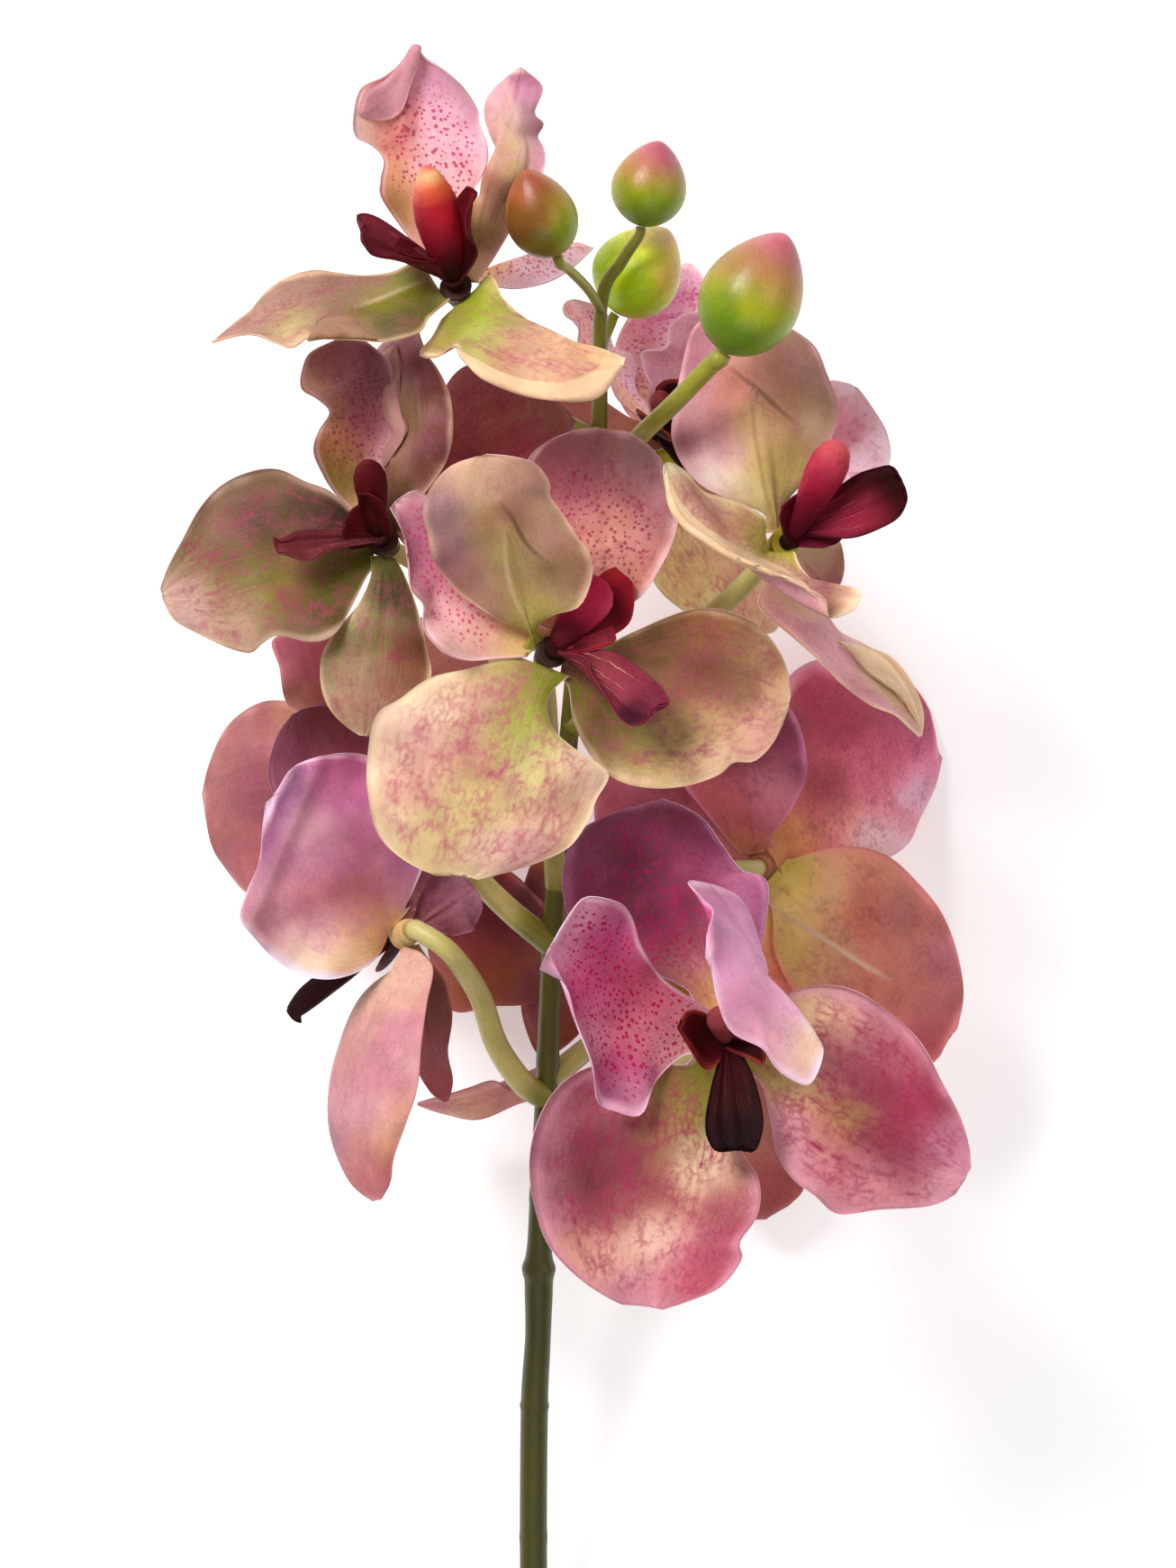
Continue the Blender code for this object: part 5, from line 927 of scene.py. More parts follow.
def blade_grid(base, tip, spec, normal, shares, places, claw=CLAW_SHARE, seed=0.0):
    """Points of a leaf-like surface, claw to tip by right to left."""
    chord = tip - base
    ahead = chord.normalized()
    up = across(normal, ahead)
    frame = Matrix((ahead, up.cross(ahead), up)).transposed()
    grid = np.zeros((len(shares), len(places), 3))
    for i, (u, (here, tangent, rise)) in enumerate(zip(shares, midrib(spec, shares))):
        side = rise.cross(tangent).normalized()
        lift_way = tangent.cross(side)
        for j, v in enumerate(places):
            ragged = noise.noise(Vector((u * 7, 3.0 * (v > 0), seed + 40))) * 2 * RAGGED
            share = outline(u, spec, claw) * (1 + ragged * abs(v))
            out, lift = section_point(spec, u, v, share, seed)
            grid[i, j] = base + frame @ (here * chord.length + side * out + lift_way * lift)
    return grid


def path_through(places, steps=24):
    """A smooth path in plan through given places, with each point's share of its length."""
    path, _ = spline_through(places, [0.0] * len(places), steps)
    path = np.array([tuple(point) for point in path])
    lengths = np.concatenate([[0.0], np.cumsum(np.linalg.norm(np.diff(path, axis=0), axis=1))])
    return path, lengths / lengths[-1]


def fit_margins(grid, spread_out, margins):
    """Moves a grid in plan until its margins pass through their places, as the solids' blades do."""
    given = []
    for margin in margins.split("/"):
        given.append([place((x, y, *lift, 0.0)[:3]) for x, y, *lift in rows(margin)])
    middle = len(grid) // 2
    ends = [np.array(points[len(points) // 2])[:2] for points in given]
    right, left = grid[middle, 0, :2], grid[middle, -1, :2]
    straight = np.linalg.norm(ends[0] - right) + np.linalg.norm(ends[1] - left)
    crossed = np.linalg.norm(ends[0] - left) + np.linalg.norm(ends[1] - right)
    if crossed < straight:
        given = given[::-1]
    for side, points in zip((-1, 1), given):
        column = 0 if side < 0 else -1
        margin = grid[:, column] * (1, 1, 0)
        path, shares = path_through([Vector(margin[0])] + points + [Vector(margin[-1])])
        lengths = np.concatenate([[0.0], np.cumsum(np.linalg.norm(np.diff(margin, axis=0), axis=1))])
        wanted = np.stack([np.interp(lengths / lengths[-1], shares, path[:, k]) for k in range(3)], axis=1)
        amount = np.where(np.array(spread_out) * side > 0, np.abs(spread_out), 0.0)
        grid += (wanted - margin)[:, None, :] * amount[None, :, None]


def claw_point(hub, face, spec):
    """Where a tepal's midrib starts in the hub."""
    way = Vector(spec.root) if spec.root else place(spec.tip) - hub
    return hub - face * CLAW_DEPTH + across(way, face) * CLAW_RADIUS


def tepal_normal(base, spec):
    """The way a tepal's face looks: straight up from the surface, or as given, then turned by its roll."""
    ahead = (place(spec.tip) - base).normalized()
    look = Vector(spec.look or (0, 0, 1))
    return Matrix.Rotation(math.radians(spec.roll), 3, ahead) @ across(look, ahead)


def colour(code):
    """Linear values of a colour written as sRGB."""
    channels = [int(code[i:i + 2], 16) / 255 for i in (1, 3, 5)]
    return tuple(c / 12.92 if c < 0.04045 else ((c + 0.055) / 1.055) ** 2.4 for c in channels)


def grid_normals(grid):
    """Unit normals of a grid of points, towards the side from which left is on the left."""
    along = np.gradient(grid, axis=0)
    aside = np.gradient(grid, axis=1)
    normals = np.cross(along, aside)
    return normals / np.maximum(np.linalg.norm(normals, axis=2, keepdims=True), 1e-9)


def ground(paint, points, grain):
    """The ground colour of each point: heart, sides, rim and colour zones with painted shade and highlights, with
    wandering edges.
    """
    points = np.array([tuple(point) for point in points])
    grain = np.array(grain)
    along, aside, seed = grain[:, 0], grain[:, 1], grain[0, 2]
    broad = np.array([noise.noise(Vector(p) * BROAD_WANDER + Vector((seed * 7, 0, 0))) for p in points])
    fine = np.array([noise.noise(Vector(p) * FINE_WANDER + Vector((0, seed * 5, 0))) for p in points])
    tones = {key: np.array(colour(getattr(paint, key))) for key in ("heart", "left", "right", "rim")}
    share = smoothed(-0.5, 0.5, aside + broad * 0.9)[:, None]
    mixed = tones["right"] * (1 - share) + tones["left"] * share
    far = along + broad * 0.2 + np.abs(aside) * 0.16
    share = smoothed(paint.reach * 1.35, 0.02, far)[:, None]
    mixed = mixed * (1 - share) + tones["heart"] * share
    # colour zones: the petal's own colours, with painted shade and painted highlights among them
    if paint.zones:
        total = np.full(len(points), ZONE_BASE)
        mixed = mixed * ZONE_BASE
        x = points[:, 0] / PLAN_UNIT + PLAN_ORIGIN[0] + (broad + fine * 0.5) * ZONE_WANDER
        y = PLAN_ORIGIN[1] - points[:, 1] / PLAN_UNIT + (broad - fine * 0.5) * ZONE_WANDER
        for zone in paint.zones.split():
            to_right, down, code = zone.split(",")
            weight = np.exp(-((x - int(to_right)) ** 2 + (y - int(down)) ** 2) / paint.zone_reach ** 2)
            mixed = mixed + weight[:, None] * np.array(colour("#" + code)) * ZONE_GAIN
            total = total + weight
        mixed = mixed / total[:, None]
    rim = np.maximum(np.abs(aside), along ** 3) + fine * 0.06
    share = RIM_SHARE * smoothed(1 - paint.edge, 1.0, rim)[:, None]
    mixed = mixed * (1 - share) + tones["rim"] * share
    mixed[:, 2] -= REDDER * np.maximum(0.0, mixed[:, 2] - mixed[:, 1])
    grey = mixed @ np.array(LUMINANCE)
    depth = 1 + DEPTH * (0.25 + 0.75 * smoothed(0.5, 0.12, grey))
    mixed = grey[:, None] + (mixed - grey[:, None]) * depth[:, None]
    gain = paint.tone * (grey / MIDDLE_TONE) ** CONTRAST * (1 + fine * 0.14 + broad * 0.12)
    return np.clip(mixed * gain[:, None], *COLOUR_RANGE)


def gathered(places, points):
    """How strongly the spots show at each point: all over, or near given plan places."""
    if not places:
        return np.ones(len(points))
    points = np.array([tuple(point) for point in points])
    x = points[:, 0] / PLAN_UNIT + PLAN_ORIGIN[0]
    y = PLAN_ORIGIN[1] - points[:, 1] / PLAN_UNIT
    total = np.zeros(len(points))
    for to_right, down, reach in rows(places):
        total = total + np.exp(-((x - to_right) ** 2 + (y - down) ** 2) / reach ** 2)
    return np.clip(total * 1.4, 0, 1)


class Skin:
    """Points, faces and painted values of one object, gathered shell by shell."""

    def __init__(self, tone=1.0):
        self.tone = tone
        self.points = []
        self.faces = []
        self.values = {name: [] for name in ("grain", "field", "ground", "mark", "amounts", "crease")}

    def add(self, points, faces, grain, field, paint, crease=None):
        """One shell, or one side of a blade: its grain is (along, aside, seed), its field millimetres."""
        first = len(self.points)
        count = len(points)
        paint = replace(paint, tone=paint.tone * self.tone)
        self.points.extend(map(tuple, points))
        self.faces.extend([tuple(first + k for k in face) for face in faces])
        self.values["grain"].append(np.array(grain))
        self.values["field"].append(np.array(field))
        self.values["ground"].append(np.column_stack([ground(paint, points, grain), np.ones(count)]))
        self.values["mark"].append(np.tile((*colour(paint.mark), 1.0), (count, 1)))
        spots = paint.spots * gathered(paint.spotted, points)
        amounts = [spots, np.full(count, paint.veins), np.full(count, paint.veil), np.ones(count)]
        self.values["amounts"].append(np.column_stack(amounts))
        self.values["crease"].append(np.tile(NO_CREASE, (count, 1)) if crease is None else crease)
        return first

    def blade(self, grid, shares, places, thickness, margin, face, back, seed, rib=0.0, ridges=0.0, creases=()):
        """A closed blade round a grid of points, thinner at its margin, with a rib along its back."""
        rows, columns = grid.shape[:2]
        normals = grid_normals(grid)
        u = np.array(shares)[:, None]
        v = np.array(places)[None, :]
        rim = np.maximum(np.abs(v), u ** 3)
        half = (margin + (thickness - margin) * np.sqrt(np.clip(1 - rim ** 4, 0, 1))) / 2
        raised = rib * np.exp(-(v / RIB_WIDTH) ** 2) * np.clip(1 - u ** 2 * 1.6, 0, 1) * np.clip(u * 12, 0, 1)
        combed = ridges * np.cos(v * math.pi * 3) * np.clip(1 - rim ** 3, 0, 1)
        front = grid + normals * (half + combed)[..., None]
        rear = grid - normals * (half + raised)[..., None]
        lengths = np.cumsum(np.linalg.norm(np.diff(grid[:, columns // 2], axis=0), axis=1))
        lengths = np.concatenate([[0.0], lengths])
        middle = (columns - 1) / 2
        sides = np.cumsum(np.linalg.norm(np.diff(grid, axis=1), axis=2), axis=1)
        sides = np.concatenate([np.zeros((rows, 1)), sides], axis=1)
        sides = sides - (sides[:, math.floor(middle)] + sides[:, math.ceil(middle)])[:, None] / 2
        grain = [(float(a), float(b), seed) for a in shares for b in places]
        field = [(float(sides[i, j]), float(lengths[i]), seed) for i in range(rows) for j in range(columns)]
        cells = [
            (i * columns + j, i * columns + j + 1, (i + 1) * columns + j + 1, (i + 1) * columns + j)
            for i in range(rows - 1) for j in range(columns - 1)
        ]
        crease = crease_field(grid.reshape(-1, 3), creases)
        top = self.add(front.reshape(-1, 3), [cell[::-1] for cell in cells], grain, field, face, crease)
        low = self.add(rear.reshape(-1, 3), cells, grain, field, back, crease)
        loop = list(range(columns))
        loop += [i * columns + columns - 1 for i in range(1, rows)]
        loop += [(rows - 1) * columns + j for j in range(columns - 2, -1, -1)]
        loop += [i * columns for i in range(rows - 2, 0, -1)]
        for here, there in zip(loop, loop[1:] + loop[:1]):
            self.faces.append((low + here, low + there, top + there, top + here))

    def turned(self, start, end, profile, sides, paint, seed, folds=0.0, count=3):
        """A closed turned shape along an axis, from (share of the length, radius) pairs."""
        axis = end - start
        frame = axis.to_track_quat("Z", "Y").to_matrix()
        points = [tuple(start + axis * profile[0][0])]
        grain, field = [(profile[0][0], 0.0, seed)], [(0.0, 0.0, seed)]
        for height, radius in profile[1:-1]:
            for k in range(sides):
                turn = 2 * math.pi * k / sides
                r = radius * (1 + folds * math.cos(turn * count))
                out = frame @ Vector((math.cos(turn) * r, math.sin(turn) * r, 0))
                points.append(tuple(start + axis * height + out))
                grain.append((height, math.sin(turn) * 0.5, seed))
                field.append((abs(turn - math.pi) * radius, height * axis.length, seed))
        points.append(tuple(start + axis * profile[-1][0]))
        grain.append((profile[-1][0], 0.0, seed))
        field.append((0.0, axis.length, seed))
        rings = len(profile) - 2
        faces = [(0, 1 + (k + 1) % sides, 1 + k) for k in range(sides)]
        for i in range(rings - 1):
            for k in range(sides):
                a, b = 1 + i * sides + k, 1 + i * sides + (k + 1) % sides
                faces.append((a, b, b + sides, a + sides))
        last = len(points) - 1
        faces += [(last, last - sides + k, last - sides + (k + 1) % sides) for k in range(sides)]
        self.add(points, faces, grain, field, paint)

    def made(self, name, material):
        """The object, with its values as attributes for the material to read."""
        mesh = bpy.data.meshes.new(name)
        mesh.from_pydata([tuple(c * METRES for c in point) for point in self.points], [], self.faces)
        for key, parts in self.values.items():
            values = np.concatenate(parts).astype(np.float32).ravel()
            kind = "vector" if key in ("grain", "field", "crease") else "color"
            mesh.attributes.new(key, "FLOAT_" + kind.upper(), "POINT").data.foreach_set(kind, values)
        mesh.shade_smooth()
        mesh.validate()
        mesh.materials.append(material)
        thing = bpy.data.objects.new(name, mesh)
        bpy.context.scene.collection.objects.link(thing)
        return thing


class Nodes:
    """Short ways to make a material's nodes."""

    def __init__(self, name):
        self.material = bpy.data.materials.new(name)
        self.material.use_nodes = True
        self.tree = self.material.node_tree
        self.shader = self.tree.nodes["Principled BSDF"]

    def feed(self, socket, value):
        if isinstance(value, bpy.types.NodeSocket):
            self.tree.links.new(value, socket)
        else:
            socket.default_value = value

    def math(self, operation, *values, clamp=False):
        node = self.tree.nodes.new("ShaderNodeMath")
        node.operation = operation
        node.use_clamp = clamp
        for socket, value in zip(node.inputs, values):
            self.feed(socket, value)
        return node.outputs[0]

    def times(self, *values, clamp=False):
        return self.math("MULTIPLY", *values, clamp=clamp)

    def plus(self, *values):
        return self.math("ADD", *values)

    def minus(self, *values):
        return self.math("SUBTRACT", *values)

    def size(self, value):
        return self.math("ABSOLUTE", value)

    def step(self, value, low, high, first=0.0, last=1.0):
        node = self.tree.nodes.new("ShaderNodeMapRange")
        node.interpolation_type = "SMOOTHSTEP"
        for key, given in zip(("Value", "From Min", "From Max", "To Min", "To Max"), (value, low, high, first, last)):
            self.feed(node.inputs[key], given)
        return node.outputs[0]

    def mix(self, share, first, second, blend="MIX"):
        node = self.tree.nodes.new("ShaderNodeMix")
        node.data_type = "RGBA"
        node.blend_type = blend
        node.clamp_factor = True
        self.feed(node.inputs[0], share)
        self.feed(node.inputs[6], first)
        self.feed(node.inputs[7], second)
        return node.outputs[2]

    def attribute(self, name):
        node = self.tree.nodes.new("ShaderNodeAttribute")
        node.attribute_name = name
        return node

    def vector(self, x, y, z):
        node = self.tree.nodes.new("ShaderNodeCombineXYZ")
        for socket, value in zip(node.inputs, (x, y, z)):
            self.feed(socket, value)
        return node.outputs[0]

    def noise(self, place, scale, detail=3.0, roughness=0.55):
        node = self.tree.nodes.new("ShaderNodeTexNoise")
        self.feed(node.inputs["Vector"], place)
        node.inputs["Scale"].default_value = scale
        node.inputs["Detail"].default_value = detail
        node.inputs["Roughness"].default_value = roughness
        return node.outputs["Fac"]

    def split(self, value):
        node = self.tree.nodes.new("ShaderNodeSeparateXYZ")
        self.feed(node.inputs[0], value)
        return node.outputs

    def cells(self, place, scale, feature="F1"):
        node = self.tree.nodes.new("ShaderNodeTexVoronoi")
        node.voronoi_dimensions = "2D"
        node.feature = feature
        self.feed(node.inputs["Vector"], place)
        node.inputs["Scale"].default_value = scale
        return node


def petal_material(name, roughness=0.5, coat=0.0, shine=0.2, relief=0.35, stripes=0.0):
    """Net of veins, streaks, blotches, spots and speckle over the ground that each point of a blade carries."""
    n = Nodes(name)
    grain = n.split(n.attribute("grain").outputs["Vector"])
    along, aside, seed = grain
    out_mm, along_mm, _ = n.split(n.attribute("field").outputs["Vector"])
    spots, veins, veil = n.split(n.attribute("amounts").outputs["Vector"])
    tone, mark = n.attribute("ground").outputs["Color"], n.attribute("mark").outputs["Color"]
    shift = n.times(seed, 13.7)
    flat = n.vector(n.plus(out_mm, shift), along_mm, seed)
    cloud = n.noise(flat, 0.2, 4.0, 0.65)
    speck = n.noise(flat, 1.3, 3.0, 0.6)
    edge = n.math("MAXIMUM", n.size(aside), n.math("POWER", along, 2.5))
    inside = n.step(edge, 1.0, 0.72)

    blotch = n.times(n.step(cloud, 0.47, 0.62), n.step(n.noise(flat, 0.75, 3.0, 0.6), 0.36, 0.58))
    veiled = n.times(blotch, n.times(veil, inside))
    tinted = n.mix(n.times(veiled, 0.78), tone, mark)

    bent = n.times(n.minus(n.noise(flat, 0.5, 2.0), 0.5), 1.1)
    net_place = n.vector(
        n.plus(n.math("DIVIDE", n.plus(out_mm, shift), 1.7), bent),
        n.plus(n.math("DIVIDE", along_mm, 3.2), bent),
        seed,
    )
    net = n.cells(net_place, 1.0, feature="DISTANCE_TO_EDGE").outputs["Distance"]
    cell_tone = n.cells(net_place, 1.0).outputs["Color"]
    lines = n.step(net, 0.36, 0.0)
    broken = n.step(n.noise(flat, 0.24, 3.0, 0.6), 0.42, 0.62)
    lines = n.times(n.times(lines, broken), n.step(along, 0.05, 0.25))
    fan = n.vector(
        n.plus(n.times(aside, 7.0), n.times(n.minus(cloud, 0.5), 0.8)),
        n.times(along, 1.6),
        n.times(seed, 5.1),
    )
    streak = n.noise(fan, 1.7, 2.0, 0.5)
    dashed = n.step(n.noise(flat, 0.3, 2.0, 0.5), 0.36, 0.66)
    streaks = n.times(n.step(streak, 0.46, 0.74), dashed)
    lined = n.math("MAXIMUM", n.times(lines, 0.6), n.times(streaks, 0.95))
    if stripes:
        comb = n.math("FRACT", n.plus(n.times(aside, stripes), n.times(bent, 0.3)))
        ridge = n.step(n.size(n.minus(comb, 0.5)), 0.055, 0.01)
        run = n.times(n.step(along, 0.1, 0.2), n.step(along, 0.72, 0.5))
        lined = n.times(n.times(ridge, run), n.step(dashed, 0.0, 1.0, 0.2, 1.0))
    veined = n.times(n.times(lined, veins), inside)
    tinted = n.mix(veined, tinted, mark)

    dots = n.cells(flat, 0.66)
    size = n.step(n.noise(flat, 0.3, 1.0), 0.3, 0.7, 0.12, 0.30)
    dot = n.step(n.minus(dots.outputs["Distance"], size), 0.05, -0.05)
    where = n.times(n.step(along, 0.04, 0.14), n.step(edge, 0.97, 0.7))
    spotted = n.times(n.times(dot, n.times(spots, 0.85)), where)
    tinted = n.mix(spotted, tinted, mark)

    shade = n.step(n.split(cell_tone)[0], 0.0, 1.0, 0.0, 0.10)
    tinted = n.mix(n.times(shade, inside), tinted, (1.0, 1.0, 1.0, 1.0), "SOFT_LIGHT")
    tinted = n.mix(n.step(speck, 0.3, 0.75, 0.0, 0.22), tinted, (0.0, 0.0, 0.0, 1.0), "SOFT_LIGHT")
    # painted shade along creases, and painted highlights along lit ridges where the pale flag is set
    gap, strength, pale = n.split(n.attribute("crease").outputs["Vector"])
    line = n.times(n.step(n.size(gap), CREASE_REACH, 0.0), strength, clamp=True)
    tinted = n.mix(line, tinted, n.mix(pale, CREASE_SHADE, RIDGE_HIGHLIGHT))
    n.feed(n.shader.inputs["Base Color"], tinted)
    n.feed(n.shader.inputs["Roughness"], n.step(speck, 0.2, 0.8, roughness - 0.08, roughness + 0.1))

    combed = n.noise(n.vector(n.times(aside, 26.0), n.times(along, 1.4), seed), 1.0, 2.0)
    grainy = n.noise(flat, 3.5, 2.0)
    height = n.plus(combed, n.times(grainy, 0.25))
    bump = n.tree.nodes.new("ShaderNodeBump")
    bump.inputs["Strength"].default_value = relief
    bump.inputs["Distance"].default_value = 0.0004
    n.feed(bump.inputs["Height"], height)
    n.feed(n.shader.inputs["Normal"], bump.outputs[0])
    n.shader.inputs["Specular IOR Level"].default_value = shine
    n.shader.inputs["Coat Weight"].default_value = coat
    n.shader.inputs["Coat Roughness"].default_value = 0.3
    n.shader.inputs["Subsurface Weight"].default_value = 0.08
    n.shader.inputs["Subsurface Radius"].default_value = (0.0025, 0.0012, 0.0010)
    n.shader.inputs["Subsurface Scale"].default_value = 1.0
    return n.material


def hub_profile(start_radius, end_radius):
    """A hub that flares from its stalk and is round at its rim."""
    heights = (0.0, 0.02, 0.15, 0.35, 0.6, 0.85, 0.97)
    flare = [(h, start_radius + (end_radius - start_radius) * h ** 1.4) for h in heights[1:]]
    return [(0.0, 0.0)] + [(0.0, start_radius * 0.9)] + flare + [(1.0, end_radius * 0.8), (1.0, 0.0)]


def heights_over(grid, plan):
    """The height of a petal's surface over plan places in millimetres: the highest of the nearest points."""
    points = grid.reshape(-1, 3)
    found = []
    for place_xy in plan:
        near = np.argsort(np.sum((points[:, :2] - place_xy) ** 2, axis=1))[:5]
        found.append(points[near, 2].max())
    return np.array(found)


def plan_line(places, count):
    """Evenly spaced points in millimetres along a smooth path through plan places."""
    path, shares = path_through([place((x, y, 0.0)) for x, y in rows(places)])
    even = np.linspace(0, 1, count)
    return np.stack([np.interp(even, shares, path[:, k]) for k in range(2)], axis=1)


def crease_field(points, creases):
    """For each point: millimetres to the nearest crease, how strongly its painted line shows, and whether that line is
    a painted highlight instead of painted shade.
    """
    found = np.tile(NO_CREASE, (len(points), 1))
    for _, _, places, strength, pale in creases:
        line = plan_line(places, CREASE_STEPS)
        offsets = points[:, None, :2] - line[None]
        nearest = np.argmin(np.linalg.norm(offsets, axis=2), axis=1)
        ways = np.gradient(line, axis=0)
        ways /= np.linalg.norm(ways, axis=1, keepdims=True)
        way, offset = ways[nearest], offsets[np.arange(len(points)), nearest]
        gap = way[:, 0] * offset[:, 1] - way[:, 1] * offset[:, 0]
        far = np.linalg.norm(offset, axis=1)
        gap = np.where(far > np.abs(gap) + 0.5, NO_CREASE[0], gap)  # past the crease's ends
        fade = np.sin(np.pi * np.clip(nearest / (CREASE_STEPS - 1), 0.03, 0.97)) ** 0.5
        near = np.abs(gap) < np.abs(found[:, 0])
        found[near] = np.stack([gap, strength * fade, np.full(len(gap), float(pale))], axis=1)[near]
    return found


def relief(grid, shares, places, seed, creases):
    """Swells, soft pleats and creases in a petal, all in height alone, so its outline in plan stays."""
    normals = grid_normals(grid)
    level = np.abs(normals[..., 2])
    grown = np.zeros(grid.shape[:2])
    for i, u in enumerate(shares):
        for j, v in enumerate(places):
            at = Vector(grid[i, j])
            amount = (0.3 + 0.7 * abs(v)) * min(1.0, u * 3)
            for length, swell in SWELLS:
                grown[i, j] += swell * amount * 2 * noise.noise(at / length + Vector((0, 0, seed * 9)))
            pleat = math.cos(v * PLEATS + 3 * noise.noise(at / PLEAT_WANDER))
            grown[i, j] += PLEAT_HEIGHT * pleat * min(1.0, u * 4) * (1 - abs(v))
    grown *= level
    for height, width, course, _, _ in creases:
        line = plan_line(course, RIDGE_STEPS)
        gaps = np.linalg.norm(grid[..., None, :2] - line[None, None], axis=3).min(axis=2)
        grown += height * np.exp(-(gaps / width) ** 2)
    grid[..., 2] += grown


def flap_grid(petal, outer, inner, rise, rows=40):
    """A margin that is turned over: from its fold along outer plan places to its edge along inner ones."""
    outer, inner = plan_line(outer, rows), plan_line(inner, rows)
    grid = np.zeros((rows, FLAP_COLUMNS, 3))
    for i in range(rows):
        wide = np.linalg.norm(inner[i] - outer[i])
        lift = min(rise, 0.45 * wide)
        turn = np.linspace(0, 1, FLAP_COLUMNS)
        roll = min(0.45, lift / max(wide, 0.1))
        angle = turn / FOLD_SHARE * math.pi / 2
        past = (turn - FOLD_SHARE) / (1 - FOLD_SHARE)
        reach = np.where(turn < FOLD_SHARE, roll * (1 - np.cos(angle)), roll + (1 - roll) * past)
        high = np.where(turn < FOLD_SHARE, lift * np.sin(angle), lift * (1 - FLAP_DROOP * past ** 2))
        plan = outer[i] + (inner[i] - outer[i]) * reach[:, None]
        grid[i, :, :2] = plan
        grid[i, :, 2] = heights_over(petal, plan) + high - FLAP_SINK
    for _ in range(3):
        grid[1:-1, :, 2] = (grid[:-2, :, 2] + 2 * grid[1:-1, :, 2] + grid[2:, :, 2]) / 4
    return grid


def bloom_skin(name, bloom, number):
    """The hub and the tepals of a bloom."""
    skin = Skin(TONES.get(name, 1.0))
    hub, face = place(bloom.hub), unit(bloom.face)
    back = hub - face * HUB_DEPTH
    skin.turned(back, hub, hub_profile(HUB_BACK_RADIUS, HUB_RADIUS), HUB_SIDES, hub_paint(name), number)
    shares, places = stations(PETAL_ROWS), spread(PETAL_COLUMNS)
    for k, (key, spec) in enumerate(bloom.tepals.items()):
        seed = number + 0.13 * (k + 1)
        base = claw_point(hub, face, spec)
        normal = tepal_normal(base, spec)
        grid = blade_grid(base, place(spec.tip), spec, normal, shares, places, seed=seed * 7)
        if spec.margins:
            fit_margins(grid, places, spec.margins)
        tag = f"{name}.{key}"
        creases = CREASES.get(tag, ())
        relief(grid, shares, places, seed, creases)
        front, rear = PAINTS.get(tag, REAR_PAINTS.get(name, ANY_PAINT))
        skin.blade(
            grid, shares, places, PETAL_THICKNESS, MARGIN_THICKNESS, front, rear, seed, rib=RIB_HEIGHT, creases=creases
        )
        for outer, inner, rise, paint in FLAPS.get(tag, ()):
            flap = flap_grid(grid, outer, inner, rise)
            even = np.linspace(0.3, 0.6, len(flap))
            across_flap = np.linspace(-0.8, 0.8, FLAP_COLUMNS)
            skin.blade(flap, even, across_flap, FLAP_THICKNESS, MARGIN_THICKNESS, paint, paint, seed + 0.05)
    return skin


def lip_skin(name, bloom, number):
    """The lip's foot, its three lobes and the column above them."""
    skin = Skin(TONES.get("lip_" + name, 1.0))
    hub, face = place(bloom.hub), unit(bloom.face)
    foot = hub + face * GAP
    top = foot + face * LIP_FOOT_LENGTH
    heart = top - face
    lobe_paint, side_paint, column_paint = LIP_PAINTS.get(name, DARK_LIP)
    skin.turned(foot, top, hub_profile(*LIP_FOOT_RADII[::-1]), FOOT_SIDES, FOOT_PAINT, number)
    tip = place(bloom.lip)
    down = across(tip - heart, face)
    side = face.cross(down)
    lobes = [(replace(MIDDLE_LOBE, margins=bloom.lip_margins), tip, face, lobe_paint)]
    for which, turn in (("left", 1), ("right", -1)):
        if which in bloom.side_lobes:
            end, margins = bloom.side_lobes[which]
            lobes.append((replace(SIDE_LOBE, margins=margins), place(end), face, side_paint))
        else:
            end = heart + face * SIDE_LOBE_LENGTH + side * (turn * SIDE_LOBE_SPREAD) - down
            lobes.append((SIDE_LOBE, end, side * -turn, side_paint))
    shares, places = stations(LOBE_ROWS, LOBE_END), spread(LOBE_COLUMNS)
    for k, (spec, end, look, paint) in enumerate(lobes):
        ahead = (end - heart).normalized()
        grid = blade_grid(heart, end, spec, across(look, ahead), shares, places, LIP_CLAW_SHARE, number + k)
        if spec.margins:
            fit_margins(grid, places, spec.margins)
        elif k == 0:
            for i, u in enumerate(shares):
                for j, v in enumerate(places):
                    grid[i, j] -= np.array(ahead) * (LIP_NOTCH * smooth(0.7, 1.0, u) * smooth(0.35, 0.0, abs(v)))
        ridges, thick = (LIP_RIDGES, LOBE_THICKNESS) if k == 0 else (0.0, SIDE_LOBE_THICKNESS)
        skin.blade(grid, shares, places, thick, LOBE_MARGIN, paint, paint, number + 0.2 * k, ridges=ridges)
    profile = COLUMN_PROFILES["leaf" if name == "top_left" else "ball"]
    column = [(0.0, 0.0)] + [(h, r * bloom.column_radius) for h, r in profile] + [(1.0, 0.0)]
    skin.turned(heart, place(bloom.column), column, HUB_SIDES, column_paint, number + 0.5, folds=0.06, count=2)
    return skin


def spline_through(points, radii, steps):
    """Points and radii along a smooth path through given ones, with evenly many steps between each two."""
    path, sizes = [], []
    last = len(points) - 1
    for i in range(last):
        before, here = points[max(0, i - 1)], points[i]
        there, after = points[i + 1], points[min(last, i + 2)]
        for k in range(steps):
            t = k / steps
            path.append(
                0.5 * (2 * here + (there - before) * t
                + (2 * before - 5 * here + 4 * there - after) * t * t
                + (3 * here - before - 3 * there + after) * t ** 3)
            )
            sizes.append(radii[i] + (radii[i + 1] - radii[i]) * t)
    return path + [points[last]], sizes + [radii[last]]


def stem_point(height):
    """The point of the stem's axis at a height in the plan."""
    for (upper, _), (lower, _) in zip(STEM[1:], STEM):
        if upper[1] <= height:
            return place(lower).lerp(place(upper), (lower[1] - height) / (lower[1] - upper[1]))
    return place(STEM[-1][0])


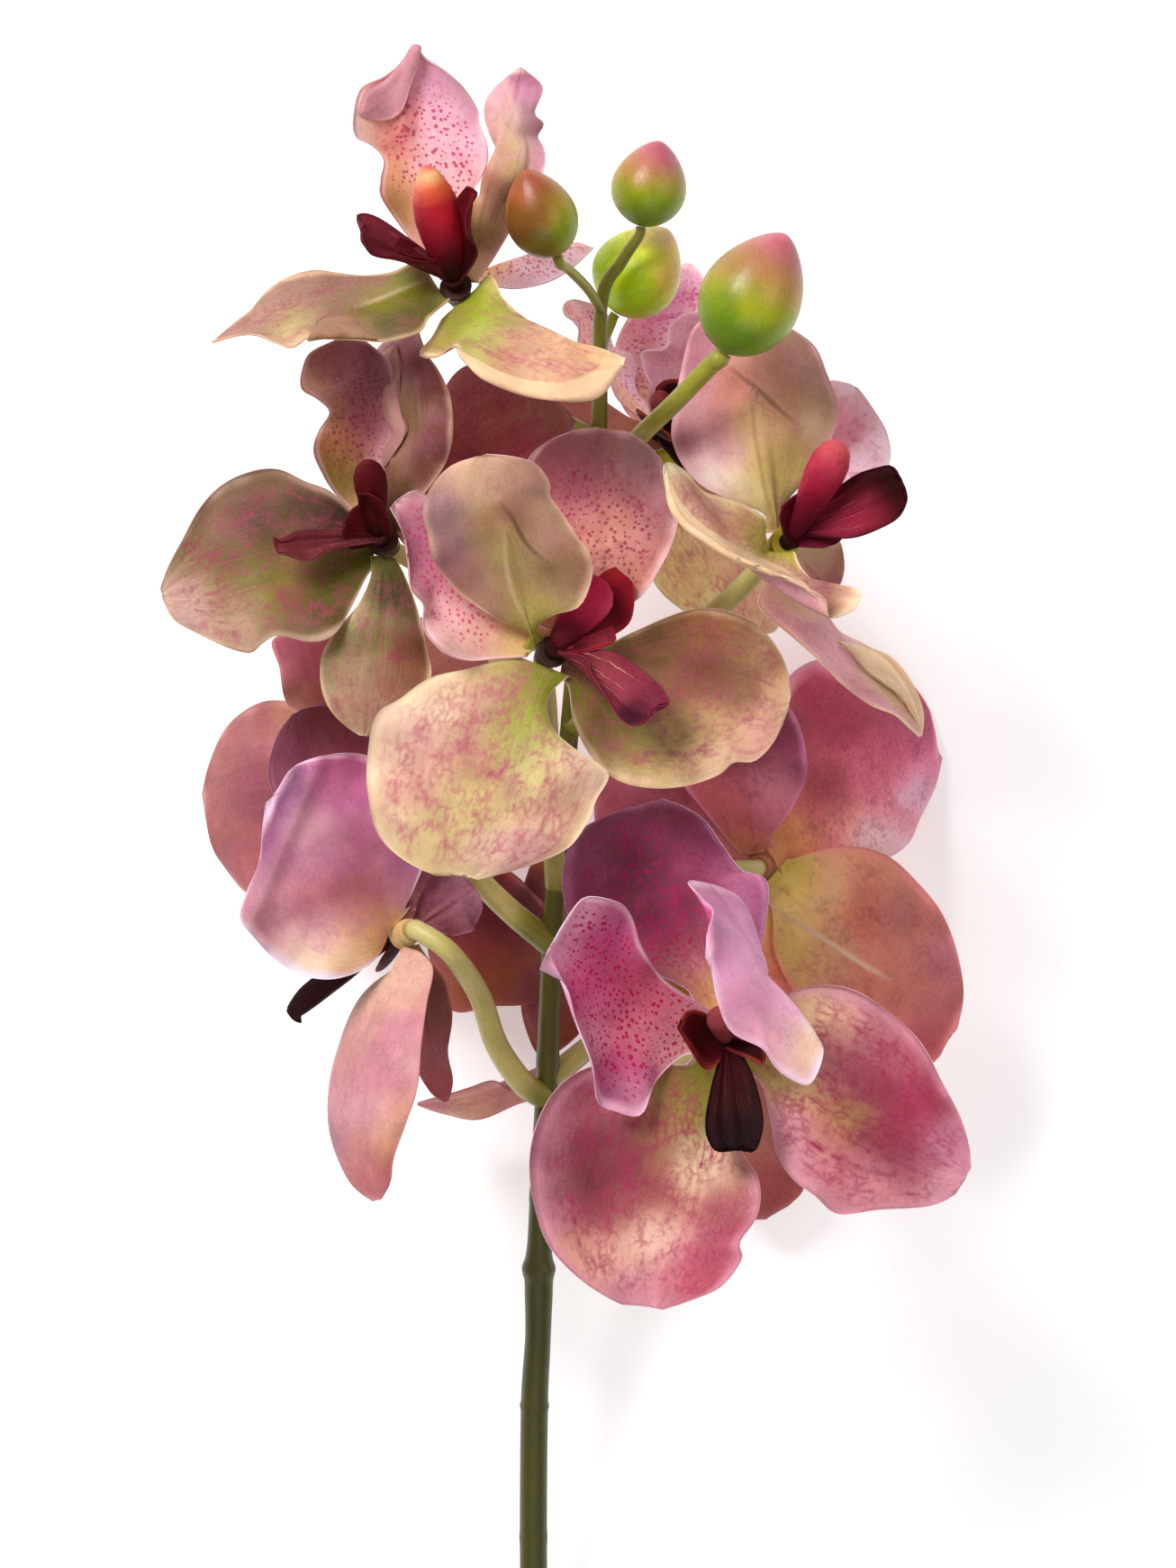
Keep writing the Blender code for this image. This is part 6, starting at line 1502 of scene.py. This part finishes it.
def tube_skin(skin, path, radii, sides, paint, seed, paint_at=None):
    """A round closed tube along a path."""
    count = len(path)
    rise = Vector((0, 0, 1))
    for i in range(count):
        tangent = (path[min(count - 1, i + 1)] - path[max(0, i - 1)]).normalized()
        rise = across(rise, tangent)
        side = rise.cross(tangent)
        ring = []
        for k in range(sides):
            turn = 2 * math.pi * (k + 0.5) / sides
            ring.append(tuple(path[i] + (rise * math.cos(turn) + side * math.sin(turn)) * radii[i]))
        u = i / (count - 1)
        tone = paint_at(path[i]) if paint_at else paint
        first = skin.add(ring, [], [(u, 0.0, seed)] * sides, [(k * 1.0, path[i].y, seed) for k in range(sides)], tone)
        if i:
            before = first - sides
            for k in range(sides):
                skin.faces.append((before + k, before + (k + 1) % sides, first + (k + 1) % sides, first + k))
    start, last = first - sides * (count - 1), first
    skin.faces.append(tuple(start + k for k in range(sides - 1, -1, -1)))
    skin.faces.append(tuple(last + k for k in range(sides)))


def stalk_skin(skin, leaves, route, end, way, radii, seed, paint):
    """A stalk that leaves the stem's axis at a height and meets its flower or bud squarely."""
    points = [stem_point(leaves)] + [place(p) for p in route] + [end - way * STALK_RUN_IN]
    count = len(points) - 1
    first, last = radii
    sizes = [first + (last - first) * i / count for i in range(count + 1)]
    path, sizes = spline_through(points, sizes, STALK_STEPS)
    tube_skin(skin, path + [end], sizes + [last], STALK_SIDES, paint, seed)


def bud_seat(spec):
    """Where a bud's stalk ends, and the way it points there."""
    foot = place(spec.foot)
    way = (place(spec.tip) - foot).normalized()
    return foot - way * GAP, way


def blend(first, second, share):
    """A colour between two, written as sRGB."""
    pairs = [(int(first[i:i + 2], 16), int(second[i:i + 2], 16)) for i in (1, 3, 5)]
    return "#" + "".join(f"{round(a + (b - a) * share):02x}" for a, b in pairs)


def stem_tone(point):
    """The stem is dark olive below and paler towards the buds."""
    share = smooth(-60.0, 190.0, point.y)
    tone = blend(STEM_LOW, STEM_HIGH, share)
    return Paint(tone, tone, blend(tone, "#6a5a30", 0.25), tone, "#3a3a18", veins=0.3, veil=0.5)


def stem_skin():
    """The stem itself and every stalk on it."""
    skin = Skin()
    end, way = bud_seat(BUDS["top"])
    points = [place(point) for point, radius in STEM] + [end - way * STALK_RUN_IN, end]
    radii = [radius for point, radius in STEM] + [BUDS["top"].stalk_radius] * 2
    flat, path = points[:3], points[2:]
    path, sizes = spline_through(path, radii[2:], STEM_STEPS)
    for i, point in enumerate(path):
        for down, tall, proud in STEM_RINGS:
            gap = (PLAN_ORIGIN[1] - down) * PLAN_UNIT - point.y
            sizes[i] += proud * math.exp(-(gap / tall) ** 2)
    tube_skin(skin, flat[:2] + path, radii[:2] + sizes, STEM_SIDES, None, STEM_SEED, stem_tone)
    for number, (name, bloom) in enumerate(BLOOMS.items()):
        hub, face = place(bloom.hub), unit(bloom.face)
        seat = hub - face * (HUB_DEPTH + GAP)
        stalk_skin(skin, bloom.leaves, bloom.stalk, seat, face, bloom.stalk_radii, number, STALK_PAINT)
    for number, spec in enumerate(BUDS.values()):
        if spec.stalk:
            seat, way = bud_seat(spec)
            radii = (spec.stalk_radius, spec.stalk_radius)
            stalk_skin(skin, spec.leaves, spec.stalk, seat, way, radii, number + 20, BUD_STALK_PAINT)
    return skin


def bud_skin(name, spec, number):
    """A closed bud, with the seams of its sepals."""
    skin = Skin(TONES.get("bud_" + name, 1.0))
    profile = [(0.0, 0.0)]
    for i in range(1, BUD_RINGS):
        height = (1 - math.cos(math.pi * i / BUD_RINGS)) / 2
        profile.append((height, spec.width / 2 * abs(math.sin(math.pi * height ** BUD_EGG)) ** BUD_FULLNESS))
    profile.append((1.0, 0.0))
    folds = BUD_FOLDS.get(name, USUAL_FOLDS)
    skin.turned(place(spec.foot), place(spec.tip), profile, BUD_SIDES, BUD_PAINTS[name], number, folds=folds)
    return skin


def stage():
    """The pale floor, the soft lights, the world and the camera."""
    scene = bpy.context.scene
    mesh = bpy.data.meshes.new("floor")
    corners = [(x * FLOOR_HALF, y * FLOOR_HALF, 0) for x, y in ((-1, -1), (1, -1), (1, 1), (-1, 1))]
    mesh.from_pydata(corners, [], [(0, 1, 2, 3)])
    floor = bpy.data.objects.new("floor", mesh)
    floor.location.z = FLOOR_HEIGHT
    scene.collection.objects.link(floor)
    n = Nodes("floor_white")
    n.shader.inputs["Base Color"].default_value = (0.93, 0.93, 0.93, 1.0)
    n.shader.inputs["Roughness"].default_value = 0.9
    n.shader.inputs["Emission Color"].default_value = (1.0, 1.0, 1.0, 1.0)
    n.shader.inputs["Emission Strength"].default_value = FLOOR_GLOW
    n.shader.inputs["Specular IOR Level"].default_value = 0.1
    mesh.materials.append(n.material)
    world = bpy.data.worlds.new("studio")
    world.use_nodes = True
    world.node_tree.nodes["Background"].inputs["Color"].default_value = (1.0, 1.0, 1.0, 1.0)
    world.node_tree.nodes["Background"].inputs["Strength"].default_value = WORLD_LIGHT
    scene.world = world
    for name, spot, size, power in LIGHTS:
        data = bpy.data.lights.new(name, "AREA")
        data.shape = "SQUARE"
        data.size = size
        data.energy = power
        lamp = bpy.data.objects.new(name, data)
        lamp.location = spot
        lamp.rotation_euler = (Vector(LIGHT_AIM) - Vector(spot)).to_track_quat("-Z", "Y").to_euler()
        scene.collection.objects.link(lamp)
    data = bpy.data.cameras.new("camera")
    data.sensor_width = SENSOR
    data.sensor_height = SENSOR
    data.lens = SENSOR * (CAMERA_HEIGHT - MIDDLE_HEIGHT) / FRAME_HEIGHT
    data.clip_end = CLIP_END
    camera = bpy.data.objects.new("camera", data)
    camera.location = place((*PLAN_VIEW, CAMERA_HEIGHT)) * METRES
    scene.collection.objects.link(camera)
    scene.camera = camera
    scene.view_settings.view_transform = "Standard"


def main():
    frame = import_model()
    petals = petal_material("petals")
    lips = petal_material("lips", roughness=0.55, shine=0.07, relief=0.5, stripes=2.3)
    greens = petal_material("greens", roughness=0.38, coat=0.1, shine=0.35, relief=0.25)
    things = []
    for number, (name, bloom) in enumerate(BLOOMS.items()):
        things.append((bloom_skin(name, bloom, number + 1.0).made("petals_" + name, petals), "bloom_" + name))
        things.append((lip_skin(name, bloom, number + 1.0).made("lobes_" + name, lips), "lip_" + name))
    things.append((stem_skin().made("green_stem", greens), "stem"))
    for number, (name, spec) in enumerate(BUDS.items()):
        things.append((bud_skin(name, spec, number + 30.0).made("closed_bud_" + name, greens), "bud_" + name))
    for thing, node in things:
        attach(thing, "root")
        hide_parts(node)
    stage()


main()
